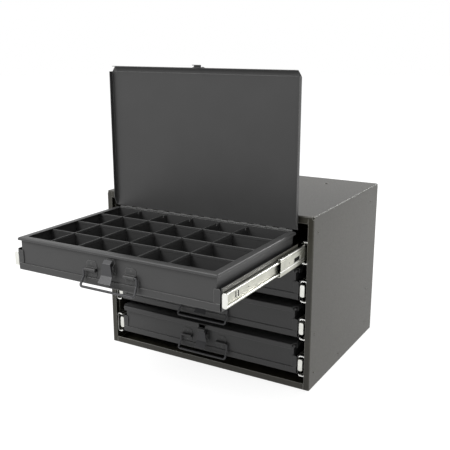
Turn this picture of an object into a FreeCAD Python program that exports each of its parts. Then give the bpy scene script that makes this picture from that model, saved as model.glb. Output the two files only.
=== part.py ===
"""Small parts organizer: a steel rack with four slide-out compartment boxes.

Frame: millimetres, +Z up, +X to the right of someone facing the front, -Y out of the front.
The origin is the centre of the rack's footprint, on the face it stands on.
The top box is pulled out with its lid open; the three below are in and shut.
"""
import FreeCAD
import Part

import math
import os

V = FreeCAD.Vector

# Compartment box
box_width = 448.0
box_length = 302.0
box_height = 66.2
box_sheet = 0.9
rim_overhang = 5.0
rim_inset = 9.0
rim_lip = 5.5
rim_mouth_radius = 5.0
rim_edge = 1.4

# Dividers: some run front to back, the others across, and they cross in half laps
divider_sheet = 0.9
long_divider_first = 69.0
long_divider_pitch = 69.0
long_divider_count = 5
cross_divider_first = 80.0
cross_divider_pitch = 77.0
cross_divider_count = 3
divider_top_drop = 2.5
cross_divider_drop = 1.5
divider_clearance = 0.3
notch_width = 5.0
notch_depth = 4.0
notch_setback = 10.0

# Lid
lid_sheet = 1.0
lid_gap = 1.3
lid_skirt = 11.0
lid_side_clearance = 0.8
lid_front_clearance = 3.8
lid_corner_width = 8.0
lid_corner_length = 12.0
lid_rear_cut = 18.0

# Piano hinge along the rear edge of the lid
hinge_sheet = 1.0
hinge_pin_radius = 1.2
hinge_bore_clearance = 0.1
hinge_end_inset = 10.0
hinge_knuckle_count = 5
hinge_gap = 0.5

# Bail handle: a wire that hangs in two brackets
bail_wire = 4.8
bail_span = 125.4
bail_top_span = 122.0
bail_corner_radius = 7.0
bail_shoulder_radius = 3.0
wire_sides = 8
bail_shoulder_steps = 2
bail_corner_steps = 3
bail_pivot_height = 31.0
bail_pivot_reach = 5.0
bail_straight_leg = 12.0
bail_bar_reach = 15.8
bail_bar_drop = 0.5
bracket_inset = 4.0
bracket_width = 24.0
bracket_above = 16.5
bracket_below = 15.5
bracket_sheet = 1.2
bracket_corner = 4.0
wire_clearance = 0.2

# Centre catch: a sprung lever in a base, and a strike on the lid
latch_width = 24.0
latch_sheet = 1.2
latch_pivot_height = 42.0
latch_pivot_reach = 6.5
latch_base_above = 15.5
latch_base_below = 16.0
latch_ear_half = 10.0
latch_ear_wall = 1.2
latch_pin_radius = 1.5
latch_clearance = 0.25
latch_side_gap = 0.5
latch_spring_wall = 1.0
latch_reach = 13.6
latch_hook_above = 14.5
latch_hook_depth = 2.5
latch_below = 15.0
latch_flare_height = 12.0
latch_flare_reach = 5.0
latch_cheek_half = 4.0
strike_width = 17.0
strike_plate_width = 26.0
strike_sheet = 1.2
strike_plate_height = 9.0
strike_clearance = 1.2
strike_lip = 7.0

# Carrier under each box: a pan with a ledge along each side
carrier_sheet = 1.5
carrier_side_clearance = 2.0
carrier_end_clearance = 0.3
ledge_width = 11.5
ledge_height = 43.0
ledge_leg_rise = 4.0
carrier_lip = 14.5
carrier_lip_inset = 6.5
ear_inset = 4.8
ear_width = 15.7
ear_step = 1.0
ear_corner = 4.0

# Ball-bearing slides, three members to a side
slide_thickness = 13.0
slide_height = 47.0
slide_length = 350.0
slide_sheet = 1.2
slide_centre_height = 21.0
slide_return = 2.4
outer_reach = 8.9
outer_ball = 4.0
inner_ball = 3.0
ball_clearance = 0.05
web_gap = 1.3
inner_web_gap = 1.8
middle_setback = 44.0
middle_shortfall = 5.0
middle_reach = 7.5
inner_setback = 2.0
inner_shortfall = 5.0
inner_tab_clearance = 0.8
cage_sheet = 0.8
cage_length = 110.0
cage_inset = 8.0
cage_lip_clearance = 0.6
slide_slot_setback = 41.0
slide_slot_length = 7.0
slide_slot_height = 12.0
slide_hole_setback = 90.0
slide_hole_radius = 3.0
slide_window_setback = 59.0
slide_window_length = 27.0
slide_window_height = 9.0

# Rack: one folded sheet for the top and sides, a floor pan, a back and four uprights
rack_sheet = 1.5
rack_edge_radius = 2.0
side_flange = 13.0
header_flange = 15.4
sill_flange = 14.0
flange_seam = 0.6
relief_width = 3.0
relief_height = 5.0
upright_depth = 11.5
upright_web = 22.0
upright_foot = 8.0
upright_floor_room = 20.0
upright_head_room = 6.0
upright_front_inset = 9.0
upright_rear_inset = 13.0
unit_count = 4
unit_gap = 14.0
floor_room = 30.5
head_room = 29.5
carrier_setback = 4.0
slide_setback = 4.0
rear_room = 46.0
mount_hole = 8.7
mount_hole_x = 154.0
mount_hole_y = 133.0

# Pose of the top box: its lid upright, and as far out as leaves this room behind the lid
open_lid_room = 3.6
lid_open_angle = 90.0

# Sizes and places worked out from those above
carrier_inner = box_width / 2 + carrier_side_clearance
carrier_outer = carrier_inner + ledge_width
slide_outer_face = carrier_outer + slide_thickness
rack_inner = slide_outer_face + upright_depth
rack_width = 2 * (rack_inner + rack_sheet)
rack_depth = slide_setback + slide_length + rear_room
rack_front = -rack_depth / 2
unit_height = carrier_sheet + box_height + lid_gap + lid_sheet
unit_pitch = unit_height + unit_gap
rack_height = floor_room + unit_count * unit_height + (unit_count - 1) * unit_gap + head_room

carrier_front = rack_front + carrier_setback
box_front = carrier_front + carrier_sheet + carrier_end_clearance
box_rear = box_front + box_length
carrier_rear = box_rear + carrier_end_clearance + carrier_sheet
floor_top = carrier_sheet + box_sheet
rim_top = carrier_sheet + box_height
rim_half = box_width / 2 + rim_overhang
rim_front = box_front - rim_overhang
rim_rear = box_rear + rim_overhang

lid_under = rim_top + lid_gap
lid_top = lid_under + lid_sheet
lid_half = rim_half + lid_side_clearance + lid_sheet
lid_front = rim_front - lid_front_clearance - lid_sheet
knuckle_bore = hinge_pin_radius + hinge_bore_clearance
box_knuckle = knuckle_bore + hinge_sheet
lid_knuckle = knuckle_bore + lid_sheet
hinge_y = rim_rear + box_knuckle
hinge_z = lid_top - lid_knuckle
hinge_half = rim_half - hinge_end_inset
pull_out = hinge_y + lid_knuckle + open_lid_room - rack_front

bail_y = box_front - bail_pivot_reach
wire_radius = bail_wire / 2
latch_y = box_front - latch_pivot_reach
latch_ear_inner = latch_width / 2 + latch_side_gap

slide_front = rack_front + slide_setback
outer_half = slide_height / 2
middle_half = outer_half - slide_sheet - outer_ball - ball_clearance
inner_half = middle_half - slide_sheet - inner_ball - ball_clearance
middle_web = slide_outer_face - slide_sheet - web_gap
middle_tip = middle_web - middle_reach
outer_tip = slide_outer_face - outer_reach
inner_tip = middle_web - slide_sheet - inner_web_gap


def block(x0, x1, y0, y1, z0, z1):
    """Return a box between the given faces, whichever way round they come."""
    low = V(min(x0, x1), min(y0, y1), min(z0, z1))
    return Part.makeBox(abs(x1 - x0), abs(y1 - y0), abs(z1 - z0), low)


def cylinder_x(radius, x0, x1, y, z):
    """Return a round bar along X."""
    return Part.makeCylinder(radius, abs(x1 - x0), V(min(x0, x1), y, z), V(1, 0, 0))


def faceted_bar(radius, x0, x1, y, z):
    """Return an eight-sided bar along X, with its flats at the given radius."""
    corner = radius / math.cos(math.pi / 8)
    angles = [math.pi / 8 + i * math.pi / 4 for i in range(8)]
    outline = [(y + corner * math.cos(a), z + corner * math.sin(a)) for a in angles]
    return plate("yz", outline, x0, x1)


def fuse(shapes):
    """Join shapes into one solid with no seams on its flat faces."""
    joined = shapes[0]
    if len(shapes) > 1:
        joined = joined.multiFuse(shapes[1:]).removeSplitter()
    return joined.Solids[0] if len(joined.Solids) == 1 else joined


def mirrored(shape):
    """Return the left-hand twin of a right-hand piece."""
    return shape.mirror(V(0, 0, 0), V(1, 0, 0))


def both_sides(shape):
    """Return a right-hand piece and its left-hand twin."""
    return [shape, mirrored(shape)]


def placed(plane, u, v, along):
    """Map a point of a profile to space; the plane's name gives the axes of u and v."""
    if plane == "xz":
        return V(u, along, v)
    if plane == "yz":
        return V(along, u, v)
    return V(u, v, along)


def along_normal(plane, length):
    """Return the extrusion vector normal to a profile's plane."""
    return {"xz": V(0, length, 0), "yz": V(length, 0, 0), "xy": V(0, 0, length)}[plane]


def plate(plane, points, start, end):
    """Extrude a closed outline of straight edges between two places along its normal."""
    corners = [placed(plane, u, v, start) for u, v in points]
    outline = Part.Face(Part.makePolygon(corners + corners[:1]))
    return outline.extrude(along_normal(plane, end - start))


def heading(a, b):
    """Return the unit vector from one profile point to another."""
    length = math.hypot(b[0] - a[0], b[1] - a[1])
    return ((b[0] - a[0]) / length, (b[1] - a[1]) / length)


def folded(plane, path, thickness, start, end):
    """Extrude folded sheet: the path runs along one face and the sheet lies on its left."""
    runs = [heading(a, b) for a, b in zip(path, path[1:])]
    far = []
    for i, (u, v) in enumerate(path):
        before = runs[max(i - 1, 0)]
        after = runs[min(i, len(runs) - 1)]
        sine = before[0] * after[1] - before[1] * after[0]
        cosine = before[0] * after[0] + before[1] * after[1]
        mitre = math.tan(math.atan2(sine, cosine) / 2)
        out = (-before[1] - before[0] * mitre, before[0] - before[1] * mitre)
        far.append((u + out[0] * thickness, v + out[1] * thickness))
    return plate(plane, path + far[::-1], start, end)


def upright_edges(body):
    """Pick the edges of a block that stand upright."""
    return [e for e in body.Edges if abs(e.Vertexes[0].Z - e.Vertexes[-1].Z) > 1e-6]


def edges_at(body, height):
    """Pick the edges of a body that lie at one height."""
    return [e for e in body.Edges if all(abs(v.Z - height) < 1e-6 for v in e.Vertexes)]


# Rack


def mount_holes(z0, z1):
    """Return the drills for the four bolt holes, which line up in the top and the floor."""
    return [
        Part.makeCylinder(mount_hole / 2, z1 - z0, V(sx * mount_hole_x, sy * mount_hole_y, z0))
        for sx in (-1, 1)
        for sy in (-1, 1)
    ]


def rack_shell():
    """Top and sides in one sheet, with flanges round the front and rear openings."""
    half_w = rack_width / 2
    half_d = rack_depth / 2
    depth_in = half_d - rack_sheet
    clear = half_w - side_flange
    header_under = rack_height - header_flange
    outer = block(-half_w, half_w, -half_d, half_d, 0, rack_height)
    outer = outer.makeFillet(rack_edge_radius, upright_edges(outer) + edges_at(outer, rack_height))
    cuts = [
        block(-rack_inner, rack_inner, -depth_in, depth_in, 0, rack_height - rack_sheet),
        block(-clear, clear, -half_d, half_d, 0, header_under),
    ]
    for sx in (-1, 1):
        for sy in (-1, 1):
            flange_in = sy * depth_in
            corner_x = sx * (half_w - relief_width)
            corner_y = sy * (half_d - relief_width)
            top = rack_height - relief_height
            seam = (sx * clear, sx * (clear + flange_seam))
            cuts.append(block(seam[0], seam[1], flange_in, sy * half_d, header_under - flange_seam, top))
            cuts.append(block(corner_x, sx * half_w, corner_y, sy * half_d, top, rack_height))
    cuts += mount_holes(rack_height - 2 * rack_sheet, rack_height + rack_sheet)
    return outer.cut(cuts)


def rack_floor():
    """Floor pan: a sill between the front flanges, and low flanges at the sides and rear."""
    front = rack_front
    rear = rack_depth / 2 - 2 * rack_sheet
    sill_half = rack_width / 2 - side_flange - flange_seam
    start = front + rack_sheet
    sill = [(front, sill_flange), (front, 0), (start + rack_sheet, 0)]
    pieces = [
        block(-rack_inner, rack_inner, start, rear, 0, rack_sheet),
        folded("yz", sill, rack_sheet, -sill_half, sill_half),
        block(-rack_inner, rack_inner, rear - rack_sheet, rear, 0, sill_flange),
    ]
    for side in (-1, 1):
        pieces.append(block(side * (rack_inner - rack_sheet), side * rack_inner, start, rear, 0, sill_flange))
    return fuse(pieces).cut(mount_holes(-rack_sheet, 2 * rack_sheet))


def rack_back():
    """Back panel, spot-welded inside the rear flanges."""
    rear = rack_depth / 2 - rack_sheet
    return block(-rack_inner, rack_inner, rear - rack_sheet, rear, 0, rack_height - rack_sheet)


def upright(y):
    """One hat-section upright on the right side wall, with the slides on its web."""
    half = upright_web / 2 - rack_sheet
    web = slide_outer_face + rack_sheet
    foot = half + upright_foot
    path = [
        (rack_inner, y - foot),
        (rack_inner, y - half),
        (web, y - half),
        (web, y + half),
        (rack_inner, y + half),
        (rack_inner, y + foot),
    ]
    top = rack_height - rack_sheet - upright_head_room
    return folded("xy", path, rack_sheet, upright_floor_room, top)


def rack_uprights():
    """Two uprights on each side wall, near the ends of the slides."""
    front = slide_front + upright_front_inset + upright_web / 2
    rear = slide_front + slide_length - upright_rear_inset - upright_web / 2
    return Part.makeCompound(both_sides(upright(front)) + both_sides(upright(rear)))


# Slides


def channel(web, tip, half, turned_in):
    """Return the path of a C section whose flanges point from the web to the tip.

    The path follows the inside of the channel, and each flange ends in a lip turned in by the
    given amount, or in a plain edge where that is 0.
    """
    sign = 1 if tip > web else -1
    inside = half - slide_sheet
    path = [(tip, -inside), (web, -inside), (web, inside), (tip, inside)]
    if turned_in > 0:
        edge = tip - sign * slide_sheet
        low = [(edge, turned_in - inside), (edge, -inside)]
        path = low + path[1:3] + [(x, -z) for x, z in reversed(low)]
    return path if sign > 0 else path[::-1]


def member(path, start, length):
    """Extrude a slide member's section at the height of the slide's centre line."""
    raised = [(x, z + slide_centre_height) for x, z in path]
    return folded("xz", raised, slide_sheet, start, start + length)


def slide_outer():
    """Fixed member on the right: flanges towards the box, lips that keep the balls in."""
    section = channel(slide_outer_face - slide_sheet, outer_tip, outer_half, slide_return)
    return member(section, slide_front, slide_length)


def ball_cage(web, tip, half, start):
    """Thin C-shaped ball cage that lies in the gap between two members.

    The web and the half height are those of its outer faces.
    """
    path = [(tip, -half), (web, -half), (web, half), (tip, half)]
    raised = [(x, z + slide_centre_height) for x, z in path]
    return folded("xz", raised, cage_sheet, start, start + cage_length)


def slide_middle():
    """Telescoping middle member on the right, with its two ball cages."""
    web = middle_web - slide_sheet
    start = slide_front + middle_setback
    length = slide_length - middle_setback - middle_shortfall
    body = member(channel(web, middle_tip, middle_half, slide_return), start, length)
    window_y = start + slide_window_setback
    centre = slide_centre_height
    half = slide_window_height / 2
    window = block(web, middle_web, window_y, window_y + slide_window_length, centre - half, centre + half)
    outer_cage = ball_cage(
        middle_web + (web_gap + cage_sheet) / 2,
        outer_tip + slide_sheet + cage_lip_clearance,
        middle_half + (outer_ball + cage_sheet) / 2,
        start + length - cage_inset - cage_length,
    )
    inner_cage = ball_cage(
        inner_tip + (inner_web_gap + cage_sheet) / 2,
        middle_tip + slide_sheet + cage_lip_clearance,
        inner_half + (inner_ball + cage_sheet) / 2,
        start + cage_inset,
    )
    return [body.cut(window), outer_cage, inner_cage]


def slide_inner():
    """Inner member on the right, fixed to the carrier, its front closed by a turned-out tab."""
    web = carrier_outer + slide_sheet
    start = slide_front + inner_setback
    length = slide_length - inner_shortfall
    centre = slide_centre_height
    body = member(channel(web, inner_tip, inner_half, 0), start, length)
    tab_out = slide_outer_face - slide_sheet - inner_tab_clearance
    tab = block(carrier_outer, tab_out, start, start + slide_sheet, centre - inner_half, centre + inner_half)
    slot_y = start + slide_slot_setback
    half = slide_slot_height / 2
    slot = block(carrier_outer, web, slot_y, slot_y + slide_slot_length, centre - half, centre + half)
    hole = faceted_bar(slide_hole_radius, carrier_outer, web, start + slide_hole_setback, centre)
    return fuse([body, tab]).cut([slot, hole])


# Carrier


def carrier():
    """Pan under the box, ledges that hang the slides beside it, a front lip and two ears."""
    leg = carrier_outer - carrier_sheet
    wall = carrier_inner + carrier_sheet
    ledge_under = ledge_height - carrier_sheet
    right = [(wall, 0), (wall, ledge_under), (leg, ledge_under), (leg, ledge_leg_rise)]
    left = [(-x, z) for x, z in reversed(right)]
    behind_lip = carrier_front + carrier_sheet
    lip_half = carrier_outer - carrier_lip_inset
    ear_out = carrier_outer - ear_inset
    ear = [
        (ear_out - ear_width, carrier_lip - ear_step),
        (ear_out, carrier_lip + ear_step),
        (ear_out, ledge_height - ear_corner),
        (ear_out - ear_corner, ledge_height),
        (ear_out - ear_width + ear_corner, ledge_height),
        (ear_out - ear_width, ledge_height - ear_corner),
    ]
    pieces = [
        folded("xz", left + right, carrier_sheet, behind_lip, carrier_rear),
        block(-lip_half, lip_half, carrier_front, behind_lip, 0, carrier_lip),
        block(-carrier_inner, carrier_inner, carrier_rear - carrier_sheet, carrier_rear, 0, carrier_lip),
    ]
    pieces += both_sides(plate("xz", ear, carrier_front, behind_lip))
    return fuse(pieces)


# Compartment box


def knuckle_spans():
    """Return the ends of each hinge knuckle along X, from left to right."""
    pitch = (2 * hinge_half + hinge_gap) / hinge_knuckle_count
    starts = [-hinge_half + i * pitch for i in range(hinge_knuckle_count)]
    return [(x, x + pitch - hinge_gap) for x in starts]


def knuckle_bores():
    """Return the bar that bores the knuckles."""
    return faceted_bar(knuckle_bore, -hinge_half - hinge_gap, hinge_half + hinge_gap, hinge_y, hinge_z)


def box_tub():
    """Open tub, folded from one sheet with welded corners."""
    half = box_width / 2
    inside = half - box_sheet
    outer = block(-half, half, box_front, box_rear, carrier_sheet, rim_top - box_sheet / 2)
    return outer.cut(block(-inside, inside, box_front + box_sheet, box_rear - box_sheet, floor_top, rim_top))


def box_rim():
    """Rolled rim: it covers the edge of the tub on three sides and turns down outside it."""
    under = rim_top - rim_lip
    outer = block(-rim_half, rim_half, rim_front, rim_rear, under, rim_top)
    outer = outer.makeChamfer(rim_edge, edges_at(outer, rim_top))
    inset = rim_half - box_sheet
    plate_under = rim_top - box_sheet
    hollow = block(-inset, inset, rim_front + box_sheet, rim_rear - box_sheet, under - box_sheet, plate_under)
    mouth = box_width / 2 - rim_inset
    opening = block(-mouth, mouth, box_front + rim_inset, box_rear - box_sheet, under, rim_top + box_sheet)
    opening = opening.makeFillet(rim_mouth_radius, upright_edges(opening))
    return outer.cut([hollow, opening])


def box():
    """Tub, rim and the fixed leaf of the lid's hinge, with every second knuckle."""
    back = rim_rear + hinge_sheet
    under = rim_top - rim_lip
    pieces = [box_tub(), box_rim()]
    pieces.append(block(-hinge_half, hinge_half, rim_rear, back, under, hinge_z - lid_knuckle - hinge_gap))
    for x0, x1 in knuckle_spans()[::2]:
        pieces.append(block(x0, x1, rim_rear, back, under, hinge_z))
        pieces.append(faceted_bar(box_knuckle, x0, x1, hinge_y, hinge_z))
    return fuse(pieces).cut(knuckle_bores())


def divider_places():
    """Return the X of each long divider and the Y of each cross divider."""
    longs = [long_divider_first - box_width / 2 + i * long_divider_pitch for i in range(long_divider_count)]
    crosses = [box_front + cross_divider_first + i * cross_divider_pitch for i in range(cross_divider_count)]
    return longs, crosses


def long_dividers():
    """Front-to-back dividers, slotted from above, with a notch near the rear wall."""
    longs, crosses = divider_places()
    half = divider_sheet / 2
    slot = half + divider_clearance
    top = rim_top - divider_top_drop
    middle = (floor_top + top) / 2
    front = box_front + box_sheet + divider_clearance
    rear = box_rear - box_sheet - divider_clearance
    outline = [(front, floor_top), (front, top)]
    for y in crosses:
        outline += [(y - slot, top), (y - slot, middle), (y + slot, middle), (y + slot, top)]
    notch = rear - notch_setback
    outline += [(notch - notch_width, top), (notch - notch_width, top - notch_depth)]
    outline += [(notch, top - notch_depth), (notch, top), (rear, top), (rear, floor_top)]
    return Part.makeCompound([plate("yz", outline, x - half, x + half) for x in longs])


def cross_dividers():
    """Side-to-side dividers, slotted from below so that they drop over the long ones."""
    longs, crosses = divider_places()
    half = divider_sheet / 2
    slot = half + divider_clearance
    top = rim_top - divider_top_drop - cross_divider_drop
    middle = (floor_top + rim_top - divider_top_drop) / 2 + divider_clearance
    side = box_width / 2 - box_sheet - divider_clearance
    outline = [(side, floor_top), (side, top), (-side, top), (-side, floor_top)]
    for x in longs:
        outline += [(x - slot, floor_top), (x - slot, middle), (x + slot, middle), (x + slot, floor_top)]
    return Part.makeCompound([plate("xz", outline, y - half, y + half) for y in crosses])


# Lid


def lid_skirts():
    """Folded edges of the lid: one across the front and one down each side."""
    low = lid_top - lid_skirt
    front_half = lid_half - lid_corner_width
    start = lid_front + lid_corner_length
    rear = hinge_y - box_knuckle - hinge_gap
    side = [(start, lid_under), (start, low), (rear - lid_rear_cut, low), (rear, lid_under)]
    front = block(-front_half, front_half, lid_front, lid_front + lid_sheet, low, lid_under)
    return both_sides(plate("yz", side, lid_half - lid_sheet, lid_half)) + [front]


def lid():
    """Flat lid with folded edges and cut corners, rolled round the hinge pin at the rear."""
    half = lid_half
    rear = hinge_y - box_knuckle - hinge_gap
    cut_y = lid_front + lid_corner_length
    cut_x = lid_half - lid_corner_width
    right = [(half, rear), (half, cut_y), (cut_x, lid_front)]
    outline = right + [(-x, y) for x, y in reversed(right)]
    pieces = [plate("xy", outline, lid_under, lid_top)] + lid_skirts()
    for x0, x1 in knuckle_spans()[1::2]:
        pieces.append(block(x0, x1, rear - lid_sheet, hinge_y, lid_under, lid_top))
        pieces.append(faceted_bar(lid_knuckle, x0, x1, hinge_y, hinge_z))
    return fuse(pieces).cut(knuckle_bores())


def lid_catch():
    """Strike on the front edge of the lid: a plate, and a tongue with its lip turned down."""
    bottom = lid_top - lid_skirt
    top = bottom + strike_plate_height
    face = lid_front - strike_sheet
    lip = box_front - latch_reach - strike_clearance - strike_sheet
    shelf = bottom + strike_sheet
    path = [(face, top), (face, shelf), (lip, shelf), (lip, bottom - strike_lip)]
    tongue = folded("yz", path, strike_sheet, -strike_width / 2, strike_width / 2)
    half = strike_plate_width / 2
    return fuse([tongue, block(-half, half, face, lid_front, bottom, top)])


def hinge_pin():
    """Wire pin through all the knuckles."""
    return cylinder_x(hinge_pin_radius, -hinge_half, hinge_half, hinge_y, hinge_z)


# Bail handle


def rounded_corner(before, corner, after, radius, steps):
    """Return evenly spaced points on the arc that rounds one corner of a wire."""
    d1 = (corner - before).normalize()
    d2 = (after - corner).normalize()
    turn = d1.getAngle(d2)
    start = corner - d1 * radius * math.tan(turn / 2)
    inward = (d2 - d1 * d1.dot(d2)).normalize()
    centre = start + inward * radius
    angles = [turn * i / steps for i in range(steps + 1)]
    return [centre - inward * radius * math.cos(a) + d1 * radius * math.sin(a) for a in angles]


def bail():
    """Wire bail: two ends in the brackets, legs that step forward, and a bar across."""
    top = bail_top_span / 2
    end = V(top - bracket_inset - bracket_width, bail_y, bail_pivot_height)
    shoulder = V(top, bail_y, bail_pivot_height)
    knee = V(top, bail_y, bail_pivot_height - bail_straight_leg)
    foot = V(bail_span / 2, box_front - bail_bar_reach, -bail_bar_drop)
    middle = V(0, foot.y, foot.z)
    half = [end] + rounded_corner(end, shoulder, knee, bail_shoulder_radius, bail_shoulder_steps) + [knee]
    half += rounded_corner(knee, foot, middle, bail_corner_radius, bail_corner_steps)
    route = half + [V(-p.x, p.y, p.z) for p in reversed(half)]
    angles = [2 * math.pi * i / wire_sides for i in range(wire_sides + 1)]
    ring = [end + V(0, math.cos(a), math.sin(a)) * wire_radius for a in angles]
    return Part.makePolygon(route).makePipeShell([Part.makePolygon(ring)], True, False, 1)


def tunnel(x0, x1, radius, nose):
    """Return a bar from the box's front wall to round the bail's pivot, with the nose given."""
    z = bail_pivot_height
    return [block(x0, x1, bail_y, box_front, z - radius, z + radius), nose(radius, x0, x1, bail_y, z)]


def bail_bracket():
    """Right-hand bracket: a plate pressed out into a tunnel for the wire."""
    outer = bail_top_span / 2 - bracket_inset
    inner = outer - bracket_width
    low = bail_pivot_height - bracket_below
    high = bail_pivot_height + bracket_above
    cut = bracket_corner
    outline = [
        (inner, low + cut),
        (inner + cut, low),
        (outer - cut, low),
        (outer, low + cut),
        (outer, high - cut),
        (outer - cut, high),
        (inner + cut, high),
        (inner, high - cut),
    ]
    back = plate("xz", outline, box_front - bracket_sheet, box_front)
    bore = wire_radius + wire_clearance
    skin = tunnel(inner, outer, bore + bracket_sheet, faceted_bar)
    return fuse([back] + skin).cut(tunnel(inner, outer, bore, cylinder_x))


def bail_brackets():
    """Both brackets of one bail."""
    return Part.makeCompound(both_sides(bail_bracket()))


# Centre catch


def latch_base():
    """Base plate with two ears, the pin across them and the spring round the pin."""
    z = latch_pivot_height
    wall = latch_ear_inner + latch_ear_wall
    low = z - latch_base_below
    high = z + latch_base_above
    foot = box_front - latch_sheet
    tip = latch_y - 2 * latch_pin_radius
    ear = [
        (foot, z - latch_ear_half),
        (foot, z + latch_ear_half),
        (tip, z + latch_pin_radius),
        (tip, z - latch_pin_radius),
    ]
    ears = both_sides(plate("yz", ear, latch_ear_inner, wall))
    pin = cylinder_x(latch_pin_radius, -latch_ear_inner, latch_ear_inner, latch_y, z)
    base = fuse([block(-wall, wall, foot, box_front, low, high)] + ears)
    bore = latch_pin_radius + latch_clearance
    half = latch_width / 2 - latch_sheet - latch_side_gap
    spring = faceted_bar(bore + latch_spring_wall, -half, half, latch_y, z)
    spring = spring.cut(faceted_bar(bore, -half, half, latch_y, z))
    return Part.makeCompound([base, pin, spring])


def latch_lever():
    """Lever: a bowed strip with a hook at the top, a flared pull below and two cheeks."""
    z = latch_pivot_height
    face = box_front - latch_reach
    half = latch_width / 2
    top = z + latch_hook_above
    flare = z - latch_below
    back = face + latch_sheet
    path = [
        (back - latch_flare_reach, flare - latch_flare_height),
        (back, flare),
        (back, top - latch_sheet),
        (face + latch_hook_depth, top - latch_sheet),
    ]
    strip = folded("yz", path, latch_sheet, -half, half)
    cheek = [
        (face + latch_sheet / 2, z - 2 * latch_cheek_half),
        (latch_y + latch_cheek_half, z - latch_cheek_half / 2),
        (latch_y + latch_cheek_half, z + latch_cheek_half / 2),
        (face + latch_sheet / 2, z + 2 * latch_cheek_half),
    ]
    cheeks = both_sides(plate("yz", cheek, half - latch_sheet, half))
    bore = faceted_bar(latch_pin_radius + latch_clearance, -half, half, latch_y, z)
    return fuse([strip] + cheeks).cut(bore)


# Assembly


def unit_pieces():
    """Return the pieces of one shut unit, standing on z = 0, by name."""
    middles = slide_middle()
    return {
        "slide_middle": Part.makeCompound(middles + [mirrored(piece) for piece in middles]),
        "slide_inner": Part.makeCompound(both_sides(slide_inner())),
        "carrier": carrier(),
        "box": box(),
        "long_dividers": long_dividers(),
        "cross_dividers": cross_dividers(),
        "lid": lid(),
        "lid_catch": lid_catch(),
        "hinge_pin": hinge_pin(),
        "bail": bail(),
        "bail_brackets": bail_brackets(),
        "latch_base": latch_base(),
        "latch_lever": latch_lever(),
    }


def pulled(name, shape):
    """Return a piece of the top unit where it is with the box out and the lid open."""
    moved = shape.copy()
    if name in ("lid", "lid_catch"):
        moved.rotate(V(0, hinge_y, hinge_z), V(1, 0, 0), -lid_open_angle)
    share = 0.5 if name == "slide_middle" else 1.0
    moved.translate(V(0, -pull_out * share, 0))
    return moved


def slide_outers(bases):
    """Return the fixed slide members of the right side, one for each unit."""
    member_shape = slide_outer()
    return Part.makeCompound([member_shape.translated(V(0, 0, base)) for base in bases])


def build():
    """Return every sub-part by name."""
    top_base = floor_room + (unit_count - 1) * unit_pitch
    bases = [top_base - i * unit_pitch for i in range(unit_count)]
    right_outers = slide_outers(bases)
    nodes = {
        "rack_shell": rack_shell(),
        "rack_floor": rack_floor(),
        "rack_back": rack_back(),
        "rack_uprights": rack_uprights(),
        "slide_outers_right": right_outers,
        "slide_outers_left": mirrored(right_outers),
    }
    for name, shape in unit_pieces().items():
        for i, base in enumerate(bases):
            piece = pulled(name, shape) if i == 0 else shape.copy()
            piece.translate(V(0, 0, base))
            nodes[f"{name}_{i + 1}"] = piece
    return nodes


def main():
    """Write one STEP file for each sub-part."""
    os.makedirs("parts", exist_ok=True)
    for name, shape in build().items():
        shape.exportStep(os.path.join("parts", name + ".step"))
        print(name, "solids", len(shape.Solids), "valid", shape.isValid(), "volume", round(shape.Volume, 1))


if __name__ == "__main__":
    main()
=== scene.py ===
"""Looks of a small parts organizer: a steel rack with four slide-out compartment boxes.

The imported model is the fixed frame. New pieces are worked out with numpy in the frame of one shut unit,
in millimetres: X to the right, Y to the rear, Z up from the underside of the carrier. Each unit then puts
them where its own box stands, pulled out or in, and its lid open or shut.
"""
from __future__ import annotations

import logging
import math
from dataclasses import dataclass, field
from enum import Enum
from typing import Sequence

import bmesh
import bpy
import numpy as np
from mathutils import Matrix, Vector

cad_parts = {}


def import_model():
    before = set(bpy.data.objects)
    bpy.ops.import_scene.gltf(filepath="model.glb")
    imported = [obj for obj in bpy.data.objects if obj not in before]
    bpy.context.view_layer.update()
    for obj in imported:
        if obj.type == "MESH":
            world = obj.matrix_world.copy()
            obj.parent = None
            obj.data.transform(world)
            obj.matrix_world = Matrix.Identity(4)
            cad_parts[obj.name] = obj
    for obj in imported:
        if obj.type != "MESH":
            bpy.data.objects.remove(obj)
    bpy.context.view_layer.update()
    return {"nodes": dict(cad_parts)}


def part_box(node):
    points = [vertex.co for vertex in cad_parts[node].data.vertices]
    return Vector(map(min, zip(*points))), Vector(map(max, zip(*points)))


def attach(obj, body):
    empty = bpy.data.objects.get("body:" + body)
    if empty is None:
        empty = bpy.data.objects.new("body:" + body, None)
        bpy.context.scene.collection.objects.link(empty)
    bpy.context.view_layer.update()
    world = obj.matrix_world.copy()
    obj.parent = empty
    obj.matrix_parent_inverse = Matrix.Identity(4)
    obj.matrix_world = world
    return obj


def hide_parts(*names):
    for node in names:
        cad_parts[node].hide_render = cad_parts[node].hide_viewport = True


LOG = logging.getLogger("organizer")
MM = 0.001
SMOOTH_ANGLE = math.radians(28)
BEND_STEPS = 5
FINE_BEND_STEPS = 7
ROUND_SIDES = 16
SMALL_SIDES = 12
# Room left between the strips beside a hole and the full strips, so that they stay closed shells.
HOLE_SEAM = 0.02
# Range of a noise that is stretched over the whole of a mix.
NOISE_LOW = 0.3
NOISE_HIGH = 0.7
# Cosine between the flat and the softened normal, on flat sheet and at the middle of a fold:
# the painted fold highlight grows between the two.
FLAT_FACING = 0.995
FOLD_FACING = 0.80
EDGE_SAMPLES = 6

Pair = tuple[float, float]
Triple = tuple[float, float, float]
Hole = tuple[float, float, float, float]
Corners = Sequence[Pair]
Radii = float | Sequence[float]
Faces = Sequence[np.ndarray]
Inputs = dict[str | int, object]


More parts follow.
